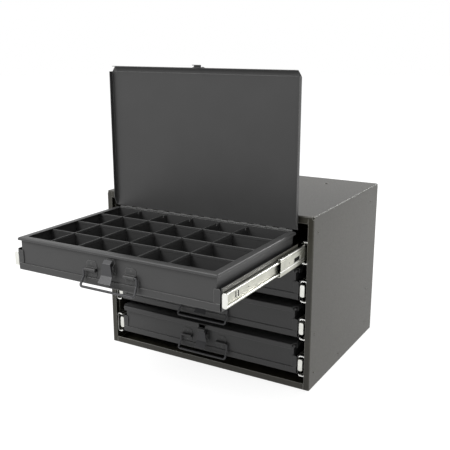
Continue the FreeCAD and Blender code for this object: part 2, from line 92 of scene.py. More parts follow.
class Axis(Enum):
    """Direction that a section is carried along; a section gives the other two, in order."""

    X = 0
    Y = 1
    Z = 2

    def ordered(self, along: np.ndarray, first: np.ndarray, second: np.ndarray) -> np.ndarray:
        """Stack coordinates as xyz.

        Args:
            along: Coordinate along this axis.
            first: First of the other two, in the order of xyz.
            second: Second of them.

        Returns:
            Points, with xyz as the last dimension.
        """
        rows = [first, second]
        rows.insert(self.value, along)
        return np.stack(rows, -1)


# Colour and nodes


def linear(code: str) -> tuple[float, float, float, float]:
    """Turn an sRGB hex value into linear light.

    Args:
        code: Colour such as "#6b6a66".

    Returns:
        Red, green, blue and an alpha of 1.
    """
    parts = [int(code[i : i + 2], 16) / 255 for i in (1, 3, 5)]
    light = [c / 12.92 if c <= 0.04045 else ((c + 0.055) / 1.055) ** 2.4 for c in parts]
    return (light[0], light[1], light[2], 1.0)


def add_node(tree: bpy.types.NodeTree, kind: str, inputs: Inputs | None = None, **settings) -> bpy.types.Node:
    """Add a node with its settings, its socket values and its links.

    Args:
        tree: Node tree that gets the node.
        kind: Blender's name of the node type.
        inputs: Socket name or number to a value, or to the output socket that feeds it.
        **settings: Attributes of the node.

    Returns:
        The new node.
    """
    node = tree.nodes.new(kind)
    for name, value in settings.items():
        setattr(node, name, value)
    for name, value in (inputs or {}).items():
        if isinstance(value, bpy.types.NodeSocket):
            tree.links.new(value, node.inputs[name])
        else:
            node.inputs[name].default_value = value
    return node


def per_metre(size_mm: float) -> float:
    """Return the noise scale whose features are about this large."""
    return 1 / (size_mm * MM)


def empty_material(name: str) -> bpy.types.Material:
    """Make a material with no nodes.

    Args:
        name: Name of the material.

    Returns:
        The material.
    """
    material = bpy.data.materials.new(name)
    material.use_nodes = True
    material.node_tree.nodes.clear()
    return material


# Finishes


@dataclass(frozen=True)
class SteelFinish:
    """What all finishes share: colour in patches, a painted highlight along folds, uneven gloss and fine
    relief.
    """

    name: str
    colour: str
    patch_colour: str
    roughness: float
    # Painted highlight along folds: its colour, the bevel radius that finds folds and also softens the
    # normal, and its largest share.
    fold_highlight_colour: str
    fold_mm: float
    fold_highlight_most: float
    patch_mm: float
    patch_low: float
    patch_detail: float
    gloss_mm: float
    gloss_detail: float
    gloss_less: float
    gloss_more: float
    relief_mm: float
    relief_detail: float
    relief: float
    relief_depth_mm: float
    # Size of the gloss and relief noises across the object over their size along Y.
    stretch: float
    # Plain values of the shader's own sockets.
    surface: tuple[tuple[str, float], ...]

    def material(self) -> bpy.types.Material:
        """Build the finish.

        Returns:
            The finished material.
        """
        made = empty_material(self.name)
        tree = made.node_tree
        spot = add_node(tree, "ShaderNodeTexCoord").outputs["Object"]
        drawn = spot
        if self.stretch != 1.0:
            mapping = {"Vector": spot, "Scale": (1.0, self.stretch, 1.0)}
            drawn = add_node(tree, "ShaderNodeMapping", mapping).outputs["Vector"]
        noises = []
        for place, size, detail in (
            (spot, self.patch_mm, self.patch_detail),
            (drawn, self.gloss_mm, self.gloss_detail),
            (drawn, self.relief_mm, self.relief_detail),
        ):
            noise = {"Vector": place, "Scale": per_metre(size), "Detail": detail}
            noises.append(add_node(tree, "ShaderNodeTexNoise", noise).outputs["Fac"])
        patch, grain, relief = noises
        drift = {"Value": patch, "From Min": self.patch_low, "From Max": NOISE_HIGH}
        share = add_node(tree, "ShaderNodeMapRange", drift).outputs["Result"]
        colours = {6: linear(self.colour), 7: linear(self.patch_colour)}
        film = add_node(tree, "ShaderNodeMix", {0: share, **colours}, data_type="RGBA")
        # The softened normal against the flat one finds the folds, where a painted highlight is mixed into
        # the colour.
        edge = add_node(tree, "ShaderNodeBevel", {"Radius": self.fold_mm * MM}, samples=EDGE_SAMPLES)
        soft = edge.outputs["Normal"]
        flat = add_node(tree, "ShaderNodeNewGeometry").outputs["Normal"]
        facing = add_node(tree, "ShaderNodeVectorMath", {0: soft, 1: flat}, operation="DOT_PRODUCT")
        turn = {"From Min": FLAT_FACING, "From Max": FOLD_FACING, "To Max": self.fold_highlight_most}
        fold = add_node(tree, "ShaderNodeMapRange", {"Value": facing.outputs["Value"], **turn})
        colours = {6: film.outputs[2], 7: linear(self.fold_highlight_colour)}
        shown = add_node(tree, "ShaderNodeMix", {0: fold.outputs["Result"], **colours}, data_type="RGBA")
        noise = {"Value": grain, "From Min": NOISE_LOW, "From Max": NOISE_HIGH}
        spread = {"To Min": self.roughness - self.gloss_less, "To Max": self.roughness + self.gloss_more}
        gloss = add_node(tree, "ShaderNodeMapRange", {**noise, **spread})
        depth = {"Strength": self.relief, "Distance": self.relief_depth_mm * MM}
        bump = add_node(tree, "ShaderNodeBump", {"Height": relief, "Normal": soft, **depth})
        looks = {
            "Base Color": shown.outputs[2],
            "Roughness": gloss.outputs["Result"],
            "Normal": bump.outputs["Normal"],
        }
        shader = add_node(tree, "ShaderNodeBsdfPrincipled", {**looks, **dict(self.surface)})
        add_node(tree, "ShaderNodeOutputMaterial", {"Surface": shader.outputs["BSDF"]})
        return made


@dataclass(frozen=True)
class SteelCoat(SteelFinish):
    """Coat on cold-rolled steel: enamel sprayed on sheet and wire and baked, phosphate on the retainers.

    The eye sees a broad soft sheen, a slightly uneven film with faint orange peel, and a painted highlight
    along each fold. Phosphate has hardly any sheen.
    """

    fold_highlight_most: float = 0.7
    patch_mm: float = 70.0
    patch_low: float = NOISE_LOW
    patch_detail: float = 3.0
    gloss_mm: float = 2.5
    gloss_detail: float = 2.0
    gloss_less: float = 0.04
    gloss_more: float = 0.05
    # Real orange peel is 1 to 2 mm across; it is drawn at 5 mm so that it shows.
    relief_mm: float = 5.0
    relief_detail: float = 1.0
    relief: float = 0.05
    relief_depth_mm: float = 0.3
    stretch: float = 1.0
    surface: tuple[tuple[str, float], ...] = (("IOR", 1.44),)


@dataclass(frozen=True)
class RolledMetal(SteelFinish):
    """Plated or bare metal with fine lines from rolling: bright, with streaks along its length.

    One noise, drawn out along Y, gives both the gloss and the relief. A metal keeps the default IOR.
    Its folds get a strong, nearly white painted highlight.
    """

    # Painted highlight along folds: nearly white and strong on metal.
    fold_highlight_colour: str = "#f4f4ef"
    fold_mm: float = 1.0
    fold_highlight_most: float = 0.9
    patch_mm: float = 22.0
    patch_low: float = 0.35
    patch_detail: float = 4.0
    # Rolling lines are under 0.2 mm apart; they are drawn at 1.6 mm so that they show.
    gloss_mm: float = 1.6
    gloss_detail: float = 3.0
    gloss_less: float = 0.05
    gloss_more: float = 0.08
    relief_mm: float = 1.6
    relief_detail: float = 3.0
    relief: float = 0.08
    relief_depth_mm: float = 0.2
    stretch: float = 1.6 / 60.0
    surface: tuple[tuple[str, float], ...] = (("Metallic", 1.0),)


class Finish(Enum):
    """Finishes of the object: the record's slot that each fills, and its place among that slot's looks."""

    RACK = ("rack_enamel", 0)
    BOX = ("box_enamel", 0)
    EDGE = ("box_enamel", 1)
    ZINC = ("zinc_plate", 0)
    BRIGHT_ZINC = ("zinc_plate", 1)
    RACE = ("zinc_plate", 2)
    HARDWARE = ("hardware", 0)
    RETAINER = ("hardware", 1)
    STEEL = ("bright_steel", 0)

    @property
    def slot(self) -> str:
        """Name of the record's slot."""
        return self.value[0]


RECIPES = {
    # Baked enamel in a warm grey: even satin sheet, with a painted highlight along each bend.
    Finish.RACK: SteelCoat("warm_grey_rack_enamel", "#323028", "#2f2d26", 0.38, "#b2b1a9", 2.8),
    # Baked enamel in a neutral dark grey: a little duller than the rack, with a faint painted highlight on
    # folds.
    Finish.BOX: SteelCoat("dark_grey_box_enamel", "#3e3e3e", "#3b3b3b", 0.42, "#898988", 1.3),
    # The box's enamel painted paler on the doubled edge above the slide: painted light,
    # a lit copy of the box's enamel for a band that grazing light makes look pale.
    Finish.EDGE: SteelCoat("hem_enamel_painted_light", "#5c5b56", "#57564f", 0.42, "#96958e", 0.8),
    # Zinc plate on rolled steel: light and faintly yellow, with streaks along the slide.
    Finish.ZINC: RolledMetal("zinc_plated_rolled_steel", "#bebeb3", "#aeaea4", 0.30),
    # Zinc burnished by stamping: whiter than the webs of the slides.
    Finish.BRIGHT_ZINC: RolledMetal("bright_burnished_zinc", "#dfdfda", "#d2d2cb", 0.34),
    # Zinc that the balls polish, painted nearly white: partly a painted highlight along the races.
    Finish.RACE: RolledMetal("polished_zinc_races_painted_highlight", "#f9f9f6", "#f1f1ed", 0.26),
    # Baked enamel on wire and strip: dark, with a sharper highlight than sheet has.
    Finish.HARDWARE: SteelCoat(
        "dark_grey_wire_enamel", "#3c3c3e", "#39393b", 0.36, "#707073", 0.5, relief_mm=3.0
    ),
    # Phosphate coat, dead black: also painted shade, standing for the shade seen through the middle
    # member's window and between the slide members.
    Finish.RETAINER: SteelCoat(
        "black_phosphate_and_painted_shade",
        "#0b0b0c",
        "#090909",
        0.85,
        "#1e1e1f",
        0.3,
        relief_mm=2.0,
        surface=(("IOR", 1.3),),
    ),
    # Hardened and polished steel: clean bright points of light.
    Finish.STEEL: RolledMetal("polished_bearing_steel", "#e0e1e2", "#cfd1d3", 0.16, fold_mm=0.3, relief=0.02),
}


# Shapes as arrays


@dataclass
class Shell:
    """Closed surface: its points and its faces, as index rows of any length."""

    points: np.ndarray
    faces: list[np.ndarray]


def around(sides: int) -> np.ndarray:
    """Return equal steps of angle round a circle."""
    return np.linspace(0, 2 * math.pi, sides, endpoint=False)


def unit_rows(rows: np.ndarray) -> np.ndarray:
    """Return each row at a length of one."""
    return rows / np.linalg.norm(rows, axis=-1, keepdims=True)


def grid_quads(rows: int, columns: int, wrap: bool = False) -> np.ndarray:
    """Join the neighbouring points of a grid into quads.

    Args:
        rows: Rows of the grid.
        columns: Columns of the grid.
        wrap: Whether the last column joins the first.

    Returns:
        Indices, four to a row.
    """
    i, j = np.meshgrid(np.arange(rows - 1), np.arange(columns if wrap else columns - 1), indexing="ij")
    k = (j + 1) % columns
    low, high = i * columns, (i + 1) * columns
    return np.stack([low + j, low + k, high + k, high + j], -1).reshape(-1, 4)


def slab(near: np.ndarray, far: np.ndarray, wrap: bool = False, cap_first: bool = False) -> Shell:
    """Close the room between two grids of one shape: sheet with its two faces and its cut edges.

    Args:
        near: Points of one face, as rows, columns and xyz.
        far: Points of the other face.
        wrap: Whether the columns run round and meet.
        cap_first: Whether the first ring is filled on both faces, and not walled between them.

    Returns:
        The closed shell.
    """
    rows, columns = near.shape[:2]
    count = rows * columns
    index = np.arange(count).reshape(rows, columns)
    face = grid_quads(rows, columns, wrap)
    faces = [face, face[:, ::-1] + count]
    if wrap:
        loops = [index[-1]] if cap_first else [index[0], index[-1]]
        if cap_first:
            faces += [index[0][None, :], index[0][None, ::-1] + count]
    else:
        loops = [np.concatenate([index[0, :-1], index[:-1, -1], index[-1, :0:-1], index[:0:-1, 0]])]
    for loop in loops:
        after = np.roll(loop, -1)
        faces.append(np.stack([loop, after, after + count, loop + count], -1))
    return Shell(np.concatenate([near.reshape(-1, 3), far.reshape(-1, 3)]), faces)


def lathe(points: np.ndarray) -> Shell:
    """Close a grid whose columns wrap round, with a face over each end ring.

    Args:
        points: Rings of points, as rows, columns and xyz.

    Returns:
        The closed shell.
    """
    rows, columns = points.shape[:2]
    index = np.arange(rows * columns).reshape(rows, columns)
    faces = [grid_quads(rows, columns, True), index[0][None, :], index[-1][None, :]]
    return Shell(points.reshape(-1, 3), faces)


def joined(shells: Sequence[Shell]) -> Shell:
    """Gather shells into one, with the indices moved on.

    Args:
        shells: Shells to gather.

    Returns:
        One shell with all their points and faces.
    """
    starts = np.cumsum([0] + [len(s.points) for s in shells[:-1]])
    faces = [f + start for s, start in zip(shells, starts) for f in s.faces]
    return Shell(np.concatenate([s.points for s in shells]), faces)


def both_sides(shell: Shell) -> Shell:
    """Return a right-hand shell and its twin across the middle plane, x turned to -x."""
    twin = Shell(shell.points * np.array([-1.0, 1.0, 1.0]), [f[:, ::-1] for f in shell.faces])
    return joined([shell, twin])


def repeated(shell: Shell, places: np.ndarray) -> Shell:
    """Copy a shell to every place: each point plus each place, as one array.

    Args:
        shell: Shell round the origin.
        places: Rows of xyz.

    Returns:
        All the copies as one shell.
    """
    points = (places[:, None, :] + shell.points[None, :, :]).reshape(-1, 3)
    starts = (np.arange(len(places)) * len(shell.points))[:, None, None]
    return Shell(points, [(f[None] + starts).reshape(-1, f.shape[1]) for f in shell.faces])


def bent(
    path: Corners, thickness: float, radius: Radii, steps: int = BEND_STEPS
) -> Faces:
    """Work out the section of a folded sheet.

    The path runs along one face and the sheet lies on its left. Each corner becomes an arc: its centre
    lies at the inner radius plus the thickness from the face on the outside of the bend, and each point
    is the centre less a spoke turned by its share of the bend.

    Args:
        path: Corners of the near face.
        thickness: Sheet thickness.
        radius: Inner radius of every bend, or one for each.
        steps: Runs in each arc.

    Returns:
        Points of the near and of the far face, in pairs.
    """
    p = np.asarray(path, float)
    d = unit_rows(np.diff(p, axis=0))
    n = np.stack([-d[:, 1], d[:, 0]], -1)
    radii = np.broadcast_to(np.asarray(radius, float), (len(p) - 2,))
    near = [p[:1]]
    far = [p[:1] + n[:1] * thickness]
    for i in range(1, len(p) - 1):
        turn = math.atan2(d[i - 1, 0] * d[i, 1] - d[i - 1, 1] * d[i, 0], d[i - 1] @ d[i])
        sign = 1.0 if turn > 0 else -1.0
        reach = radii[i - 1] + (thickness if sign > 0 else 0.0)
        centre = p[i] - d[i - 1] * reach * math.tan(abs(turn) / 2) + n[i - 1] * reach * sign
        a = turn * np.linspace(0, 1, steps + 1)
        x, y = n[i - 1]
        spoke = np.stack([x * np.cos(a) - y * np.sin(a), x * np.sin(a) + y * np.cos(a)], -1)
        near.append(centre - spoke * reach * sign)
        far.append(centre - spoke * (reach - sign * thickness) * sign)
    near.append(p[-1:])
    far.append(p[-1:] + n[-1:] * thickness)
    return np.concatenate(near), np.concatenate(far)


def carried(section: np.ndarray, stations: Sequence[float] | np.ndarray, axis: Axis) -> np.ndarray:
    """Carry a section along an axis.

    Args:
        section: Rows of the two coordinates other than the axis.
        stations: Places along the axis, the same for all rows or one list for each row.
        axis: Axis that the section moves along.

    Returns:
        Grid of points, section rows by stations.
    """
    stops = np.broadcast_to(np.asarray(stations, float), (len(section), np.shape(stations)[-1]))
    return axis.ordered(stops, *(np.broadcast_to(section[:, i : i + 1], stops.shape) for i in (0, 1)))


def drawn_out(faces: Faces, stations: Sequence[float] | np.ndarray, axis: Axis) -> Shell:
    """Return the sheet between the two faces of a section, each carried along an axis."""
    return slab(*(carried(face, stations, axis) for face in faces))


def folded(
    path: Corners, thickness: float, radius: Radii, axis: Axis, stations: Sequence[float]
) -> Shell:
    """Return folded sheet: the section of `bent` carried along an axis."""
    return drawn_out(bent(path, thickness, radius), stations, axis)


def pierced(
    path: Corners, thickness: float, radius: Sequence[float], stations: Pair, holes: Sequence[Hole]
) -> Shell:
    """Return folded sheet along Y with square holes in its longest run.

    Beside a hole the section is carried in two parts, which end at the hole's edges.

    Args:
        path: Corners of the near face.
        thickness: Sheet thickness.
        radius: Inner radius of each bend.
        stations: Ends along Y.
        holes: Rows of first and last Y, and lowest and highest Z, in order along Y.

    Returns:
        The shells of all the parts.
    """
    faces = bent(path, thickness, radius)
    near = faces[0]
    run = int(np.linalg.norm(np.diff(near, axis=0), axis=1).argmax())
    climbs = near[run + 1, 1] > near[run, 1]
    shells = []
    start = stations[0]
    for y0, y1, z0, z1 in holes:
        first, second = (z0, z1) if climbs else (z1, z0)
        before = [np.concatenate([face[: run + 1], [[face[run, 0], first]]]) for face in faces]
        after = [np.concatenate([[[face[run, 0], second]], face[run + 1 :]]) for face in faces]
        shells.append(drawn_out(faces, (start, y0), Axis.Y))
        shells += [drawn_out(part, (y0 + HOLE_SEAM, y1 - HOLE_SEAM), Axis.Y) for part in (before, after)]
        start = y1
    shells.append(drawn_out(faces, (start, stations[1]), Axis.Y))
    return joined(shells)


def prism(outline: Corners, axis: Axis, start: float, end: float) -> Shell:
    """Return a plate: a closed outline carried between two places and filled at both."""
    grid = carried(np.asarray(outline, float), (start, end), axis)
    return lathe(np.swapaxes(grid, 0, 1))


def rounded_outline(corners: Corners, radius: Radii, steps: int = 4) -> np.ndarray:
    """Round the corners of a closed outline.

    An arc's centre lies its radius from both sides of the corner, and its points are the centre less the
    radius times the normal of the first side, turned by its share of the corner.

    Args:
        corners: Corners in order.
        radius: Radius of every corner, or one for each.
        steps: Runs in each arc.

    Returns:
        Points of the outline.
    """
    p = np.asarray(corners, float)
    before = unit_rows(p - np.roll(p, 1, 0))
    after = unit_rows(np.roll(p, -1, 0) - p)
    turn = np.arctan2(before[:, 0] * after[:, 1] - before[:, 1] * after[:, 0], (before * after).sum(1))
    sign = np.sign(turn)
    r = np.broadcast_to(np.asarray(radius, float), turn.shape)
    normal = np.stack([-before[:, 1], before[:, 0]], -1)
    centre = p - before * (r * np.tan(np.abs(turn) / 2))[:, None] + normal * (r * sign)[:, None]
    a = turn[:, None] * np.linspace(0, 1, steps + 1)[None, :]
    spoke = normal[:, None, :] * np.cos(a)[..., None]
    spoke = spoke + np.stack([-normal[:, 1], normal[:, 0]], -1)[:, None, :] * np.sin(a)[..., None]
    return (centre[:, None, :] - spoke * (r * sign)[:, None, None]).reshape(-1, 2)


def rectangle(x0: float, x1: float, y0: float, y1: float) -> list[Pair]:
    """Return the corners of a rectangle."""
    return [(x0, y0), (x1, y0), (x1, y1), (x0, y1)]


def turned(profile: Corners, centre: Sequence[float], axis: Axis, sides: int) -> Shell:
    """Turn a profile round an axis: each row is a circle of its radius at its height.

    Args:
        profile: Rows of radius and height along the axis.
        centre: Point that the heights start from.
        axis: Axis of the turned piece.
        sides: Faces round it.

    Returns:
        The closed shell.
    """
    p = np.asarray(profile, float)
    across = p[:, :1] * np.cos(around(sides))[None]
    up = p[:, :1] * np.sin(around(sides))[None]
    along = np.broadcast_to(p[:, 1:], across.shape)
    pair = (up, across) if axis is Axis.Y else (across, up)
    return lathe(axis.ordered(along, *pair) + np.asarray(centre, float))


def barrel(x0: float, x1: float, outer: float, bore: float, centre: Pair) -> Shell:
    """Return a hollow bar along X: two circles round one centre, carried between its ends.

    Args:
        x0: First end.
        x1: Second end.
        outer: Outer radius.
        bore: Inner radius.
        centre: Its axis, as (y, z).

    Returns:
        The closed shell.
    """
    a = around(SMALL_SIDES)
    circle = np.stack([np.cos(a), np.sin(a)], -1)
    rings = [carried(circle * r + np.array(centre), (x0, x1), Axis.X) for r in (outer, bore)]
    return slab(*(np.swapaxes(ring, 0, 1) for ring in rings), wrap=True)


def wire(path: np.ndarray, radius: float, sides: int, reference: Sequence[float]) -> Shell:
    """Sweep a circle along a path.

    At each point the circle lies in the plane of two unit vectors: the cross product of the path's
    direction with a reference that is never parallel to it, and the cross product of those two.

    Args:
        path: Points of the centre line.
        radius: Radius of the wire.
        sides: Faces round it.
        reference: Direction that the path never takes.

    Returns:
        The closed shell.
    """
    along = unit_rows(np.gradient(path, axis=0))
    side = unit_rows(np.cross(along, np.asarray(reference, float)))
    up = np.cross(side, along)
    a = around(sides)
    ring = side[:, None, :] * np.cos(a)[None, :, None] + up[:, None, :] * np.sin(a)[None, :, None]
    return lathe(path[:, None, :] + ring * radius)


def rounded_path(corners: Sequence[Triple], radii: Sequence[float], steps: int) -> np.ndarray:
    """Round the inner corners of an open path in space.

    An arc starts on the first run and bends inwards: its points are the start plus the radius times
    (1 - cos) towards the inside and sin along the run.

    Args:
        corners: Corners in order.
        radii: One radius for each inner corner.
        steps: Runs in each arc.

    Returns:
        Points of the path.
    """
    p = np.asarray(corners, float)
    rows = [p[:1]]
    for i, radius in enumerate(radii, start=1):
        before = unit_rows(p[i] - p[i - 1])
        after = unit_rows(p[i + 1] - p[i])
        turn = math.acos(float(np.clip(before @ after, -1, 1)))
        inward = unit_rows(after - before * (before @ after))
        start = p[i] - before * radius * math.tan(turn / 2)
        a = np.linspace(0, turn, steps + 1)[:, None]
        rows.append(start + inward * radius * (1 - np.cos(a)) + before * radius * np.sin(a))
    rows.append(p[-1:])
    return np.concatenate(rows)


def dimple(centre: Sequence[float], axis: Axis, outward: float, radius: float, height: float) -> Shell:
    """Turn a weld mark round an axis: a low ring round a sunk middle.

    Args:
        centre: Point on the sheet.
        axis: Axis across the sheet.
        outward: 1 or -1, the way out along it.
        radius: Radius of the mark.
        height: Height of its ring.

    Returns:
        The closed shell.
    """
    # Shares of the radius and of the ring's height.
    rows = [(0.0, -0.2), (0.0, 0.1), (0.45, 0.1), (0.62, 1.0), (0.82, 0.8), (1.0, -0.2)]
    profile = [(radius * r, outward * height * h) for r, h in rows]
    return turned(profile, centre, axis, SMALL_SIDES)


# Making pieces


@dataclass
class Bench:
    """Turns shells into finished pieces, and keeps the materials."""

    nodes: dict[str, bpy.types.Object]
    materials: dict[Finish, bpy.types.Material] = field(default_factory=dict)
    # Points nearer than the first are merged, and edges shorter than the second are closed up.
    merge_mm: float = 0.005
    shortest_mm: float = 0.002

    def finish(self, finish: Finish) -> bpy.types.Material:
        """Find the material of a finish, which is made at its first use.

        Args:
            finish: The finish.

        Returns:
            Its material.
        """
        if finish not in self.materials:
            self.materials[finish] = RECIPES[finish].material()
        return self.materials[finish]

    def piece(self, name: str, shell: Shell, body: str, finish: Finish, replaces: Sequence[str] = ()) -> None:
        """Make a piece from a shell whose points are in millimetres in the row frame.

        Args:
            name: Name of the piece.
            shell: Its surface.
            body: CAD body that it rides on.
            finish: Its finish.
            replaces: CAD nodes that it stands for.
        """
        mesh = bpy.data.meshes.new(name)
        faces = [row for group in shell.faces for row in group.tolist()]
        mesh.from_pydata((shell.points * MM).tolist(), [], faces)
        work = bmesh.new()
        work.from_mesh(mesh)
        bmesh.ops.remove_doubles(work, verts=work.verts, dist=self.merge_mm * MM)
        bmesh.ops.dissolve_degenerate(work, edges=work.edges, dist=self.shortest_mm * MM)
        bmesh.ops.recalc_face_normals(work, faces=work.faces)
        work.to_mesh(mesh)
        work.free()
        mesh.polygons.foreach_set("use_smooth", np.ones(len(mesh.polygons), bool))
        mesh.set_sharp_from_angle(angle=SMOOTH_ANGLE)
        mesh.materials.append(self.finish(finish))
        made = bpy.data.objects.new(name, mesh)
        bpy.context.scene.collection.objects.link(made)
        shading = made.modifiers.new("even_shading", "WEIGHTED_NORMAL")
        shading.keep_sharp = True
        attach(made, body)
        if replaces:
            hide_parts(*replaces)
        LOG.info("piece %s on %s: %d faces", name, body, len(mesh.polygons))

    def dress(self, finish: Finish, *nodes: str) -> None:
        """Give CAD nodes their finish, and leave their meshes alone.

        Args:
            finish: The finish.
            *nodes: Names of the nodes.
        """
        for node in nodes:
            shown = self.nodes[node]
            shown.data.materials.clear()
            shown.data.materials.append(self.finish(finish))
            LOG.info("node %s in %s", node, finish.slot)


@dataclass
class Unit:
    """Place of one unit's moving part: how far out it is, how high, and whether its lid is up."""

    bench: Bench
    number: int
    shift: float
    base: float
    lid_open: bool = False

    def placed(self, shell: Shell) -> Shell:
        """Return a shell of the shut unit where this one is."""
        return Shell(shell.points + np.array([0.0, self.shift, self.base]), shell.faces)

    def lid_turned(self, shell: Shell, hinge: Hinge) -> Shell:
        """Turn a shell with an open lid: what lies (y, z) from the hinge comes to (z, -y).

        Args:
            shell: Shell of the shut lid.
            hinge: Hinge of the lid.

        Returns:
            The shell where the lid holds it.
        """
        if not self.lid_open:
            return shell
        y = shell.points[:, 1] - hinge.y
        z = shell.points[:, 2] - hinge.z
        return Shell(np.stack([shell.points[:, 0], hinge.y + z, hinge.z - y], -1), shell.faces)

    def add(self, name: str, shell: Shell, body: str, finish: Finish, *replaces: str) -> None:
        """Make a piece of this unit, whose number follows the name, the body and each node.

        Args:
            name: Name of the piece.
            shell: Its surface in the shut unit.
            body: CAD body that it rides on.
            finish: Its finish.
            *replaces: CAD nodes that it stands for.
        """
        n = self.number
        nodes = [f"{node}_{n}" for node in replaces]
        self.bench.piece(f"{name}_{n}", self.placed(shell), f"{body}_{n}", finish, nodes)


@dataclass
class Hinge:
    """Piano hinge: short barrels by turns on the box and on the lid, round one pin."""

    y: float = 115.1
    z: float = 67.7
    half: float = 219.0
    bore: float = 1.3
    barrel_radius: float = 2.3
    sheet: float = 1.0
    count: int = 29
    gap: float = 0.5

    def spans(self, first: int) -> list[Pair]:
        """Find the ends of every second barrel.

        Args:
            first: Number of the first one.

        Returns:
            Both ends of each along X.
        """
        pitch = (2 * self.half + self.gap) / self.count
        starts = [-self.half + i * pitch for i in range(first, self.count, 2)]
        return [(x, x + pitch - self.gap) for x in starts]

    def leaf(self, first: int, tab: Sequence[float]) -> list[Shell]:
        """Make the barrels of one leaf, with the tabs that roll into them.

        Args:
            first: Number of its first barrel.
            tab: Lowest and highest Y, and lowest and highest Z, of a tab.

        Returns:
            Tabs and barrels.
        """
        spans = self.spans(first)
        tabs = [prism(rectangle(*tab), Axis.X, *span) for span in spans]
        return tabs + [barrel(*span, self.barrel_radius, self.bore, (self.y, self.z)) for span in spans]


@dataclass
class CompartmentBox:
    """Tub drawn from one sheet, its rolled rim, and the fixed leaf of the lid's hinge."""

    hinge: Hinge
    half_width: float = 224.0
    front: float = -194.2
    rear: float = 107.8
    under: float = 1.5
    top: float = 67.7
    sheet: float = 0.9
    corner: float = 1.6
    least_corner: float = 0.5
    floor_bend: float = 1.4
    # Width of the floor that belongs to the folded section; the rest is filled inside it.
    floor_edge: float = 30.0
    rim_reach: float = 5.0
    rim_lip: float = 5.5
    rim_bend: float = 2.4
    rim_corner: float = 2.2
    mouth_inset: float = 9.0
    mouth_radius: float = 5.0
    long_places: tuple[float, ...] = (-155.0, -86.0, -17.0, 52.0, 121.0)
    cross_places: tuple[float, ...] = (-114.2, -37.2, 39.8)
    hem_half: float = 1.1
    cross_hem_half: float = 0.8
    # Roundings of a hem's lower edges, and of its upper edges on both kinds of divider.
    hem_foot: float = 0.1
    hem_round: float = 0.9
    cross_hem_round: float = 0.7
    hem_height: float = 6.0
    hem_top: float = 67.3
    hem_gap: float = 0.4
    cross_drop: float = 0.6
    notch_end: float = 16.0

    def rings(self, section: np.ndarray, rear_in: float, corner: np.ndarray) -> np.ndarray:
        """Carry a section round the box.

        Each row is a rectangle with rounded corners: a corner's centre lies its radius inside both
        sides, and its points are the centre plus the radius times (cos, sin).

        Args:
            section: Rows of distance out from the tub's wall, and height.
            rear_in: Furthest that a row lies inside the rear wall.
            corner: Corner radius of each row.

        Returns:
            Grid of points, rows by places round the box.
        """
        out = section[:, 0]
        half = (self.half_width + out)[:, None, None]
        front = (self.front - out)[:, None, None]
        rear = (self.rear + np.maximum(out, -rear_in))[:, None, None]
        r = corner[:, None, None]
        quarter = np.arange(4)[:, None] * math.pi / 2 + np.linspace(0, math.pi / 2, BEND_STEPS + 1)[None, :]
        sx = np.array([1, -1, -1, 1])[None, :, None]
        sy = np.array([1, 1, -1, -1])[None, :, None]
        x = sx * (half - r) + r * np.cos(quarter)
        y = np.where(sy > 0, rear - r, front + r) + r * np.sin(quarter)
        z = np.broadcast_to(section[:, 1][:, None, None], x.shape)
        return np.stack([x, y, z], -1).reshape(len(section), -1, 3)

    def tub(self) -> Shell:
        """Carry the folded section of wall and floor round the box, and fill the floor inside it.

        Returns:
            Walls and floor.
        """
        path = [(-self.floor_edge, self.under), (0, self.under), (0, self.top - self.sheet / 2)]
        grids = []
        for face in bent(path, self.sheet, self.floor_bend):
            corners = np.maximum(self.corner + face[:, 0], self.least_corner)
            grids.append(self.rings(face, self.floor_edge, corners))
        return slab(*grids, wrap=True, cap_first=True)

    def rim(self) -> Shell:
        """Carry the rolled rim round the box: lip, round shoulder and the flat that closes in over the tub.

        Returns:
            The rim.
        """
        reach = self.rim_reach
        path = [(reach, self.top - self.rim_lip), (reach, self.top), (-self.mouth_inset, self.top)]
        faces = bent(path, self.sheet, self.rim_bend, FINE_BEND_STEPS)
        corners = np.full(len(faces[0]), self.rim_corner)
        corners[-1] = self.mouth_radius
        return slab(*(self.rings(face, self.sheet, corners) for face in faces), wrap=True)

    def leaf(self) -> Shell:
        """Make the fixed hinge leaf behind the rim, with its tabs and barrels.

        Returns:
            The leaf.
        """
        hinge = self.hinge
        face = self.rear + self.rim_reach
        back = face + hinge.sheet
        high = hinge.z - hinge.barrel_radius - hinge.gap
        strip = rectangle(face, back, self.top - self.rim_lip, high)
        plate = prism(strip, Axis.X, -hinge.half, hinge.half)
        return joined([plate, *hinge.leaf(0, (face, back, high, hinge.z))])

    def hem(self, place: float, half: float, rounding: float, top: float, axis: Axis, ends: Pair) -> Shell:
        """Make the folded hem on the top edge of one divider: a rounded bar.

        Args:
            place: Middle of the divider.
            half: Half of the hem's width.
            rounding: Radius of its upper edges.
            top: Height of its top.
            axis: Axis that it runs along.
            ends: Both ends along it.

        Returns:
            The bar.
        """
        outline = rectangle(place - half, place + half, top - self.hem_height, top)
        radii = [self.hem_foot, self.hem_foot, rounding, rounding]
        return prism(rounded_outline(outline, radii, 3), axis, *ends)

    def hems(self) -> Shell:
        """Make the hems of all the dividers, inside the mouth of the rim.

        Returns:
            The bars.
        """
        front = self.front + self.mouth_inset + self.hem_gap
        rear = self.rear - self.notch_end
        half = self.half_width - self.mouth_inset - self.hem_gap
        long = (self.hem_half, self.hem_round, self.hem_top, Axis.Y, (front, rear))
        top = self.hem_top - self.cross_drop
        cross = (self.cross_hem_half, self.cross_hem_round, top, Axis.X, (-half, half))
        bars = [self.hem(x, *long) for x in self.long_places]
        return joined(bars + [self.hem(y, *cross) for y in self.cross_places])

